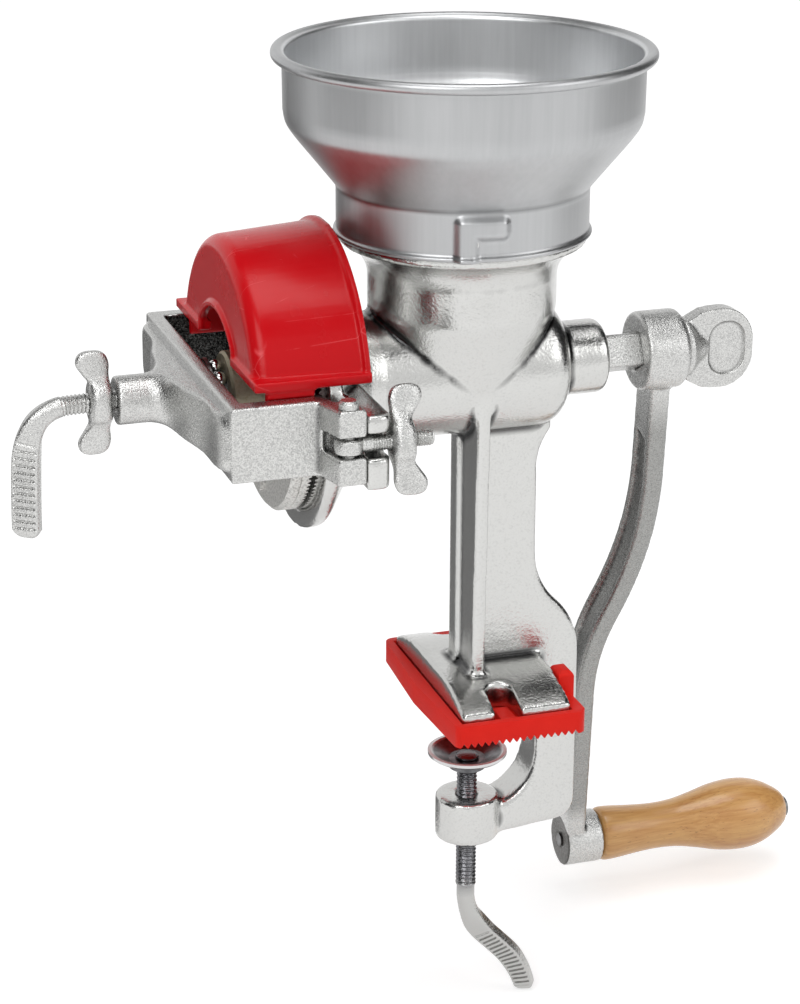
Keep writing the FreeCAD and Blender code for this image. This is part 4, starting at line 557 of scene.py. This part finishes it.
# fibres about 1.1 mm apart and 45 mm long, year rings about 5 mm apart, and pores 0.5 mm by 4 mm
lengthwise = add_node(tree, "Mapping", {}, {"Vector": place, "Scale": (1 / 0.045, 1 / 0.0011, 1 / 0.0011)})
fibres = add_node(tree, "TexNoise", {}, {"Vector": lengthwise.outputs[0], "Scale": 1.0, "Detail": 4.0})
ringwise = add_node(tree, "Mapping", {}, {"Vector": place, "Scale": (1 / 0.08, 1 / 0.005, 1 / 0.009)})
years = add_node(tree, "TexNoise", {}, {"Vector": ringwise.outputs[0], "Scale": 1.0, "Detail": 2.0})
porewise = add_node(tree, "Mapping", {}, {"Vector": place, "Scale": (1 / 0.004, 1 / 0.0005, 1 / 0.0005)})
pores = add_node(tree, "TexNoise", {}, {"Vector": porewise.outputs[0], "Scale": 1.0, "Detail": 1.0})
mixed = add_node(tree, "Math", {"operation": "ADD"}, {0: fibres.outputs[0], 1: years.outputs[0]})
share = add_node(tree, "MapRange", {}, {0: mixed.outputs[0], "From Min": 0.65, "From Max": 1.35})
tones = add_node(tree, "ValToRGB", {}, {0: share.outputs[0]})
tones.color_ramp.elements[0].color = linear("#BE8242")
tones.color_ramp.elements[1].color = linear("#E0AE6A")
dots = add_node(tree, "MapRange", {}, {
    0: pores.outputs[0], "From Min": 0.68, "From Max": 0.74, "To Max": 0.6})
skin = add_node(tree, "MixRGB", {}, {
    "Fac": dots.outputs[0], "Color1": tones.outputs[0], "Color2": linear("#8A5428")})
tree.links.new(skin.outputs[0], shader.inputs["Base Color"])
bump = add_node(tree, "Bump", {}, {"Height": fibres.outputs[0], "Strength": 0.12, "Distance": 0.0002})
tree.links.new(bump.outputs[0], shader.inputs["Normal"])
handle_axis = np.array([89.3, 75.22, -112.33])
grip_length = 91.7
grip_bore = 3.06
outer = curve_through([
    (0, 9.9), (0.7, 11.3), (2.6, 12.1), (8, 11.9), (18, 10.9), (28, 10.35), (38, 10.9), (48, 12.9),
    (57, 15.1), (66, 16.2), (74, 15.8), (81, 13.8), (87, 10.6), (90.6, 7.9), (grip_length, 6.4)], 240)
profile = np.vstack([outer, [(grip_length, grip_bore), (0, grip_bore)]])
angle = np.linspace(0, 2 * np.pi, 96, endpoint=False)[:, None]
grid = np.stack([profile[:, 0] + 0 * angle, profile[:, 1] * np.cos(angle), profile[:, 1] * np.sin(angle)], -1)
grip = surface("turned_grip", grid + handle_axis, True)
fit(grip, wood, "grip", "varnished_wood", "handle_grip")
dress("handle_bolt", dark_steel)

# Hopper: a bowl pressed from tinned steel sheet, its rim rolled outwards over a wire and its
# collar pushed over the throat. A hook pressed into the collar catches on the stud.
sheet, tree, shader = new_finish("hopper_sheet", "#B2B3B4", 1.0, 0.4)
place = add_node(tree, "TexCoord", {}, {}).outputs["Object"]
# bands of rolling in the sheet, upright on the bowl and about 22 mm wide, and streaks 2 mm wide and
# 40 mm tall
radial = add_node(tree, "VectorMath", {"operation": "MULTIPLY_ADD"}, {
    0: place, 1: (1, 1, 0.1), 2: (0.0047, 0, 0)})
bands = add_node(tree, "TexNoise", {}, {"Vector": radial.outputs[0], "Scale": 1 / 0.022, "Detail": 2.0})
upright = add_node(tree, "Mapping", {}, {"Vector": place, "Scale": (1 / 0.002, 1 / 0.002, 1 / 0.04)})
streaks = add_node(tree, "TexNoise", {}, {"Vector": upright.outputs[0], "Scale": 1.0, "Detail": 2.0})
mixed = add_node(tree, "Math", {"operation": "ADD"}, {0: bands.outputs[0], 1: streaks.outputs[0]})
share = add_node(tree, "MapRange", {}, {0: mixed.outputs[0], "From Min": 0.5, "From Max": 1.5})
tones = add_node(tree, "ValToRGB", {}, {0: share.outputs[0]})
tones.color_ramp.elements[0].color = linear("#ABACAD")
tones.color_ramp.elements[1].color = linear("#B9BABB")
# painted light: the inside is painted 1.45 times brighter than the outside
inner = add_node(tree, "Attribute", {"attribute_name": "inner"}, {})
lit_inside = add_node(tree, "MixRGB", {"blend_type": "MULTIPLY"}, {
    "Fac": inner.outputs["Fac"], "Color1": tones.outputs[0], "Color2": (1.45, 1.45, 1.45, 1)})
gloss = add_node(tree, "MapRange", {}, {
    0: streaks.outputs[0], "From Min": 0.3, "From Max": 0.7, "To Min": 0.37, "To Max": 0.41})
tree.links.new(gloss.outputs[0], shader.inputs["Roughness"])
# painted shade: the crease where the collar meets the cone, 1.6 mm either way, is painted darker
split = add_node(tree, "SeparateXYZ", {}, {0: place})
above = add_node(tree, "Math", {"operation": "SUBTRACT"}, {0: split.outputs["Z"], 1: 0.2138})
near = add_node(tree, "Math", {"operation": "ABSOLUTE"}, {0: above.outputs[0]})
collar_crease_shade = add_node(tree, "MapRange", {}, {0: near.outputs[0], "From Max": 0.0016, "To Min": 0.5, "To Max": 0.0})
skin = add_node(tree, "MixRGB", {}, {
    "Fac": collar_crease_shade.outputs[0], "Color1": lit_inside.outputs[0], "Color2": linear("#4A4A4B")})
tree.links.new(skin.outputs[0], shader.inputs["Base Color"])
bump = add_node(tree, "Bump", {}, {"Height": streaks.outputs[0], "Strength": 0.03, "Distance": 0.0001})
tree.links.new(bump.outputs[0], shader.inputs["Normal"])


def arc(centre, radius, first, last, count):
    """Points on a circle: centre plus radius times cosine and sine of the angle, in degrees."""
    turn = np.radians(np.linspace(first, last, count))
    return np.stack([centre[0] + radius * np.cos(turn), centre[1] + radius * np.sin(turn)], -1)


collar_radius = 48.3
wall_radius = 68.1
sheet_thickness = 1.2
hook_rise = 2.4
# how round the corners of the hook's outline are, and the width of the step at its edges
hook_corner = 2.2
hook_step = 4.0


def bowl_profile():
    """The closed outline of the sheet as (radius, height), and where its inside starts: up the outside,
    round the rolled rim and down the inside, which lies one sheet thickness further in."""
    bead = curve_through([(48.9, 55.3), (49.35, 55.8), (49.2, 56.6), (48.6, 57.2), (collar_radius, 58)], 12)
    collar = np.stack([np.full(28, collar_radius), np.linspace(58, 72, 28)], -1)
    cone = curve_through([
        (collar_radius, 72), (48.5, 73.5), (49.4, 75.1), (52.9, 79.5), (57.5, 85.2), (62.3, 91.1),
        (65.2, 94.9), (67.3, 98.4), (wall_radius, 102.5)], 44)
    wall = np.stack([np.linspace(wall_radius, 68.3, 8), np.linspace(102.5, 122.4, 8)], -1)
    roll = arc((70.4, 123.6), 2.1, 200, 500, 26)
    lip = np.array([(68.0, 124.6), (67.5, 124.3), (67.2, 123.8), (67.1, 123.2)])
    outside = np.vstack([bead, collar[1:], cone[1:], wall[1:]])
    heading = np.gradient(outside, axis=0)
    heading /= np.linalg.norm(heading, axis=1)[:, None]
    inward = np.stack([-heading[:, 1], heading[:, 0]], -1)
    inside = (outside + sheet_thickness * inward)[::-1]
    return np.vstack([outside, roll, lip, inside]), len(outside) + len(roll)


def hopper_grid(profile):
    """The bowl turned about its axis: each profile point goes round at its radius. Within the hook's
    outline on the collar the sheet is pushed out by the hook's rise, with a smooth step at its edges."""
    angle = np.linspace(0, 2 * np.pi, 456, endpoint=False)[:, None]
    # the place round the collar in millimetres, from the hook's leg at 15 degrees left of the near side
    around = ((angle + np.radians(105) + np.pi) % (2 * np.pi) - np.pi) * collar_radius
    height = profile[:, 1] + 0 * angle
    leg_side = np.maximum(np.abs(around + 2.0) - 1.4, 0)
    leg = np.hypot(leg_side, np.maximum(height - 69.4, 0)) - hook_corner
    cross_side = np.maximum(np.abs(around - 3.8) - 7.2, 0)
    cross = np.hypot(cross_side, np.maximum(np.abs(height - 67.8) - 1.6, 0)) - hook_corner
    edge = np.minimum(leg, cross)
    push = np.clip(0.5 - edge / hook_step, 0, 1)
    push = hook_rise * push * push * (3 - 2 * push) * (profile[:, 0] < 50)
    radius = profile[:, 0] + push
    return np.stack([radius * np.cos(angle), radius * np.sin(angle), height], -1) + shaft


sheet_line, inner_start = bowl_profile()
bowl = hopper_grid(sheet_line)
hopper = surface("pressed_hopper", bowl, True)
within = np.tile(np.arange(len(sheet_line)) >= inner_start, len(bowl)).astype(float)
hopper.data.attributes.new("inner", "FLOAT", "POINT").data.foreach_set("value", within)
fit(hopper, sheet, "bowl", "hopper_sheet", "hopper")

# Guard cover: a hood moulded in glossy red plastic that sits on the yoke and keeps fingers off
# the plates. Handling has left fine scratches on it.
cover_red, tree, shader = new_finish("red_cover_plastic", "#C40A14", 0.0, 0.24)
shader.inputs["Specular IOR Level"].default_value = 0.2
place = add_node(tree, "TexCoord", {}, {}).outputs["Object"]
# scuffed patches about 12 mm across
scuffs = add_node(tree, "TexNoise", {}, {"Vector": place, "Scale": 1 / 0.012, "Detail": 5.0})
gloss = add_node(tree, "MapRange", {}, {0: scuffs.outputs[0], "To Min": 0.16, "To Max": 0.34})
tree.links.new(gloss.outputs[0], shader.inputs["Roughness"])
# hair scratches: straight borders of long cells, about 40 mm by 9 mm, broken where scuffs are faint
slant = add_node(tree, "Mapping", {}, {
    "Vector": place, "Rotation": (0.5, 0.9, 0.4), "Scale": (1 / 0.04, 1 / 0.009, 1 / 0.016)})
cells = add_node(tree, "TexVoronoi", {"feature": "DISTANCE_TO_EDGE"}, {
    "Vector": slant.outputs[0], "Scale": 1.0})
hair = add_node(tree, "MapRange", {}, {0: cells.outputs[0], "From Max": 0.014, "To Min": 1.0, "To Max": 0.0})
breaks = add_node(tree, "MapRange", {}, {0: scuffs.outputs[0], "From Min": 0.5, "From Max": 0.6})
scratch = add_node(tree, "Math", {"operation": "MULTIPLY"}, {0: hair.outputs[0], 1: breaks.outputs[0]})
skin = add_node(tree, "MixRGB", {}, {
    "Fac": scratch.outputs[0], "Color1": linear("#C40A14"), "Color2": linear("#DA4A4E")})
tree.links.new(skin.outputs[0], shader.inputs["Base Color"])
cover = merged("guard_cover")
# a bead 2.6 mm thick runs round the arch that clears the shaft
bead_radius = 1.3
bead_along = -97.2
arch_half = 24.2
arch_foot = 17.5
arch_spring = 22.8
arch_crown = 33.2
arch_radius = (arch_half ** 2 + (arch_crown - arch_spring) ** 2) / (2 * (arch_crown - arch_spring))
arch_reach = math.degrees(math.asin(arch_half / arch_radius))
crown = arc((0, arch_crown - arch_radius), arch_radius, 90 + arch_reach, 90 - arch_reach, 60)
side = np.stack([np.full(8, arch_half), np.linspace(arch_foot, arch_spring, 8, endpoint=False)], -1)
line = np.vstack([side * (-1, 1), crown, side[::-1]])
plain = np.zeros(len(line))
thick = plain + bead_radius
arch_line = np.stack([line[:, 0], plain, line[:, 1]], -1)
bead = bar(arch_line, thick, thick, plain + 2, plain, (plain, 1), (plain, 1))
bead[[0, -1]] = bead[[0, -1]].mean(1, keepdims=True)
bead = np.stack([bead[:, :, 1] + bead_along, bead[:, :, 0], bead[:, :, 2]], -1)
moulding = surface("moulding", bead + shaft, False)
shape = bmesh.new()
shape.from_mesh(cover.data)
shape.from_mesh(moulding.data)
shape.to_mesh(cover.data)
shape.free()
bpy.data.objects.remove(moulding)
cover = cast(cover, 0.6, 3)
fit(cover, cover_red, "guard", "red_cover_plastic", "guard_cover")

# Table clamp: a threaded screw through the boss of the frame, bent at its foot and forged to a
# ribbed thumb paddle, with a dished steel washer peened on its top.
clamp_path = curve_through([
    (0, 0, -25.2), (0, 0, -40), (0, 0, -55), (0, 0, -70), (0, 0, -84), (0.2, 0, -92), (2.4, 0, -100),
    (7.4, 0, -107.6), (13.6, 0, -114.4), (19.4, 0, -121), (23.8, 0, -128.4), (26.4, 0, -135),
    (27.4, 0, -139.4)], 1300)
travel = np.concatenate([[0], np.cumsum(np.linalg.norm(np.diff(clamp_path, axis=0), axis=1))])
ends = np.sqrt(np.clip((travel[-1] - travel) / 2.6, 0, 1))
spread = np.clip((travel - 68) / 16, 0, 1)
spread = spread * spread * (3 - 2 * spread)
narrow = np.clip((travel - 104) / 18, 0, 1)
# radius of the turned part against the way along it: the peened head, the neck, the thread and the rod
turned_knots = [0, 0.01, 0.8, 1.7, 1.75, 6.1, 6.15, 59.2, 60.4]
turned = np.interp(travel, turned_knots, [0, 3.4, 4.8, 4.8, 3, 3, 4.25, 4.25, 3.75])
clamp_cut = 0.75 * np.clip((travel - 6.2) / 0.3, 0, 1) * np.clip((59.2 - travel) / 1, 0, 1)
rib_cut = 0.85 * np.clip((travel - 84) / 3, 0, 1) * np.clip((travel[-1] - 3 - travel) / 1, 0, 1)
half_width = (turned + 1.2 * spread - 0.9 * narrow) * ends ** 0.5
half_depth = (turned - 0.95 * spread) * ends
clamp_grid = bar(clamp_path, half_width, half_depth, 2 + 4 * spread, 34 * spread, (clamp_cut, 1.75),
                 (rib_cut, 2.3))
clamp = surface("clamp_screw_bar", clamp_grid, False)
clamp_steel, tree, shader = new_finish("clamp_steel", "#8C8C8C", 1.0, 0.27)
place = add_node(tree, "TexCoord", {}, {}).outputs["Object"]
# dark oiled thread above, painted darker as well for the shade in its grooves, and tinned paddle below, with
# a grain about 0.8 mm apart
split = add_node(tree, "SeparateXYZ", {}, {0: place})
height = add_node(tree, "MapRange", {}, {0: split.outputs["Z"], "From Min": -0.09, "From Max": -0.08})
tones = add_node(tree, "ValToRGB", {}, {0: height.outputs[0]})
tones.color_ramp.elements[0].color = linear("#B6B6B4")
tones.color_ramp.elements[1].color = linear("#77777A")
tree.links.new(tones.outputs[0], shader.inputs["Base Color"])
grain = add_node(tree, "TexNoise", {}, {"Vector": place, "Scale": 1 / 0.0008, "Detail": 3.0})
bump = add_node(tree, "Bump", {}, {"Height": grain.outputs[0], "Strength": 0.7, "Distance": 0.0003})
tree.links.new(bump.outputs[0], shader.inputs["Normal"])
fit(clamp, clamp_steel, "clamp_spindle", "dark_steel", "clamp_screw")
washer_steel, tree, shader = new_finish("worn_washer_steel", "#8A8A8A", 1.0, 0.28)
place = add_node(tree, "TexCoord", {}, {}).outputs["Object"]
# oil in the dish, broken up by stains about 3 mm across, and a rim rubbed bright from 14.8 mm outwards
level = add_node(tree, "VectorMath", {"operation": "MULTIPLY"}, {0: place, 1: (1, 1, 0)})
spread = add_node(tree, "VectorMath", {"operation": "LENGTH"}, {0: level.outputs[0]})
stains = add_node(tree, "TexNoise", {}, {"Vector": place, "Scale": 1 / 0.003, "Detail": 3.0})
worn = add_node(tree, "MapRange", {}, {0: spread.outputs["Value"], "From Min": 0.0136, "From Max": 0.0148})
tones = add_node(tree, "ValToRGB", {}, {0: stains.outputs[0]})
tones.color_ramp.elements[0].position = 0.3
tones.color_ramp.elements[0].color = linear("#48484A")
tones.color_ramp.elements[1].position = 0.7
tones.color_ramp.elements[1].color = linear("#767678")
skin = add_node(tree, "MixRGB", {}, {
    "Fac": worn.outputs[0], "Color1": tones.outputs[0], "Color2": linear("#C9C9C9")})
tree.links.new(skin.outputs[0], shader.inputs["Base Color"])
dress("clamp_washer", washer_steel)

# Studio: a pale paper floor just below the clamp, three broad soft lamps, one of them overhead, and
# dark cards round about that only show as reflections in the tin.
floor_level = cad_box[0].z * 1000 - 0.6
floor_half = 7000
floor_cells = 14
floor_lines = floor_cells + 1
reach = np.linspace(-floor_half, floor_half, floor_lines)
across, depth = np.meshgrid(reach, reach)
floor_points = np.stack([across, depth, np.full_like(across, floor_level)], -1).reshape(-1, 3) / 1000
corner = (np.arange(floor_cells)[:, None] * floor_lines + np.arange(floor_cells)).reshape(-1)
floor_faces = np.stack([corner, corner + 1, corner + floor_lines + 1, corner + floor_lines], -1)
floor_mesh = bpy.data.meshes.new("studio_floor")
floor_mesh.from_pydata(floor_points, [], floor_faces.tolist())
floor = bpy.data.objects.new("studio_floor", floor_mesh)
scene.collection.objects.link(floor)
paper, tree, shader = new_finish("white_paper", "#E6E6E6", 0.0, 0.9)
shader.inputs["Specular IOR Level"].default_value = 0.0
rays = add_node(tree, "LightPath", {}, {})
seen = add_node(tree, "Math", {"operation": "MAXIMUM"}, {
    0: rays.outputs["Is Camera Ray"], 1: rays.outputs["Is Glossy Ray"]})
# lifts the paper to white where it is seen, more from 0.4 m to 1.5 m out, and leaves the shadow
# under the mill
place = add_node(tree, "TexCoord", {}, {}).outputs["Object"]
away = add_node(tree, "VectorMath", {"operation": "LENGTH"}, {0: place})
lift = add_node(tree, "MapRange", {}, {
    0: away.outputs["Value"], "From Min": 0.4, "From Max": 1.5, "To Min": 0.5, "To Max": 0.66})
glow = add_node(tree, "Math", {"operation": "MULTIPLY"}, {0: seen.outputs[0], 1: lift.outputs[0]})
shader.inputs["Emission Color"].default_value = (1, 1, 1, 1)
tree.links.new(glow.outputs[0], shader.inputs["Emission Strength"])
floor.data.materials.append(paper)


card_radius = 2.6
card_floor = 0.138
card_columns = 13
card_rows = 9


def dark_card(name, turns, rises, paint):
    """A card bent to a sphere about the mill, seen in reflections alone: its points lie at the radius times
    (sin turn cos rise, -cos turn cos rise, sin rise), with the turn counted from the front. Where that is
    under the floor, the radius is cut so that the card lies on it."""
    turn = np.radians(np.linspace(*turns, card_columns))
    rise = np.radians(np.linspace(*rises, card_rows))
    turn, rise = np.meshgrid(turn, rise)
    radius = np.minimum(card_radius, card_floor / np.maximum(-np.sin(rise), 0.01))[:, :, None]
    points = radius * np.stack([np.sin(turn) * np.cos(rise), -np.cos(turn) * np.cos(rise), np.sin(rise)], -1)
    mesh = bpy.data.meshes.new(name)
    first = (np.arange(card_rows - 1)[:, None] * card_columns + np.arange(card_columns - 1)).reshape(-1)
    faces = np.stack([first, first + 1, first + card_columns + 1, first + card_columns], -1)
    mesh.from_pydata(points.reshape(-1, 3), [], faces.tolist())
    card = bpy.data.objects.new(name, mesh)
    scene.collection.objects.link(card)
    card.visible_camera = False
    card.visible_diffuse = False
    card.visible_shadow = False
    card.visible_transmission = False
    mesh.materials.append(paint)


black_card, tree, shader = new_finish("black_card", "#1E1E1F", 0.0, 0.9)
grey_card, tree, shader = new_finish("grey_card", "#8A8A8A", 0.0, 0.9)
dark_card("left_card", (-118, -62), (-4, 62), black_card)
dark_card("top_card", (-60, 60), (50, 68), black_card)
dark_card("right_card", (70, 128), (-4, 62), black_card)
dark_card("high_card", (130, 230), (44, 74), black_card)
dark_card("floor_card", (184, 226), (-40, -2.5), grey_card)

world = bpy.data.worlds.new("studio_air")
scene.world = world
world.use_nodes = True
tree = world.node_tree
air = tree.nodes["Background"]
rays = add_node(tree, "LightPath", {}, {})
seen = add_node(tree, "Math", {"operation": "MAXIMUM"}, {
    0: rays.outputs["Is Camera Ray"], 1: rays.outputs["Is Glossy Ray"]})
clear = add_node(tree, "Math", {"operation": "MAXIMUM"}, {
    0: seen.outputs[0], 1: rays.outputs["Is Transmission Ray"]})
level = add_node(tree, "MapRange", {}, {0: clear.outputs[0], "To Min": 0.45, "To Max": 1.0})
air.inputs["Color"].default_value = (1, 1, 1, 1)
tree.links.new(level.outputs[0], air.inputs["Strength"])


lamp_aim = Vector((-0.02, 0, 0.09))


def lamp(name, turn, rise, distance, size, power):
    """A square soft lamp that faces the mill from a turn and a rise in degrees."""
    data = bpy.data.lights.new(name, "AREA")
    data.shape = "SQUARE"
    data.size = size
    data.energy = power
    turn = math.radians(turn)
    rise = math.radians(rise)
    back = Vector((math.sin(turn) * math.cos(rise), -math.cos(turn) * math.cos(rise), math.sin(rise)))
    holder = bpy.data.objects.new(name, data)
    holder.location = back * distance + lamp_aim
    holder.rotation_mode = "QUATERNION"
    holder.rotation_quaternion = back.to_track_quat("Z", "Y")
    scene.collection.objects.link(holder)


lamp("key_lamp", -42, 38, 1.7, 0.9, 9.0)
lamp("fill_lamp", 48, 26, 1.9, 1.0, 5.0)
lamp("top_lamp", 10, 84, 1.6, 0.9, 8.0)

# Camera: stands where the photograph was taken from, a little left of the front and above.
camera_turn = math.radians(-18.168)
camera_rise = math.radians(20.141)
camera_roll = math.radians(0.203)
camera_aim = Vector((-0.0293, 0, 0.08715))
camera_distance = 1.0995
back = Vector((math.sin(camera_turn) * math.cos(camera_rise),
               -math.cos(camera_turn) * math.cos(camera_rise),
               math.sin(camera_rise)))
level_right = Vector((math.cos(camera_turn), math.sin(camera_turn), 0))
level_up = back.cross(level_right)
right = level_right * math.cos(camera_roll) + level_up * math.sin(camera_roll)
up = level_up * math.cos(camera_roll) - level_right * math.sin(camera_roll)
lens = bpy.data.cameras.new("camera")
lens.lens = 100.56
lens.sensor_width = 36
camera = bpy.data.objects.new("camera", lens)
scene.collection.objects.link(camera)
stand = Matrix.Translation(camera_aim + back * camera_distance)
camera.matrix_world = stand @ Matrix((right, up, back)).transposed().to_4x4()
scene.camera = camera
scene.view_settings.view_transform = "Standard"
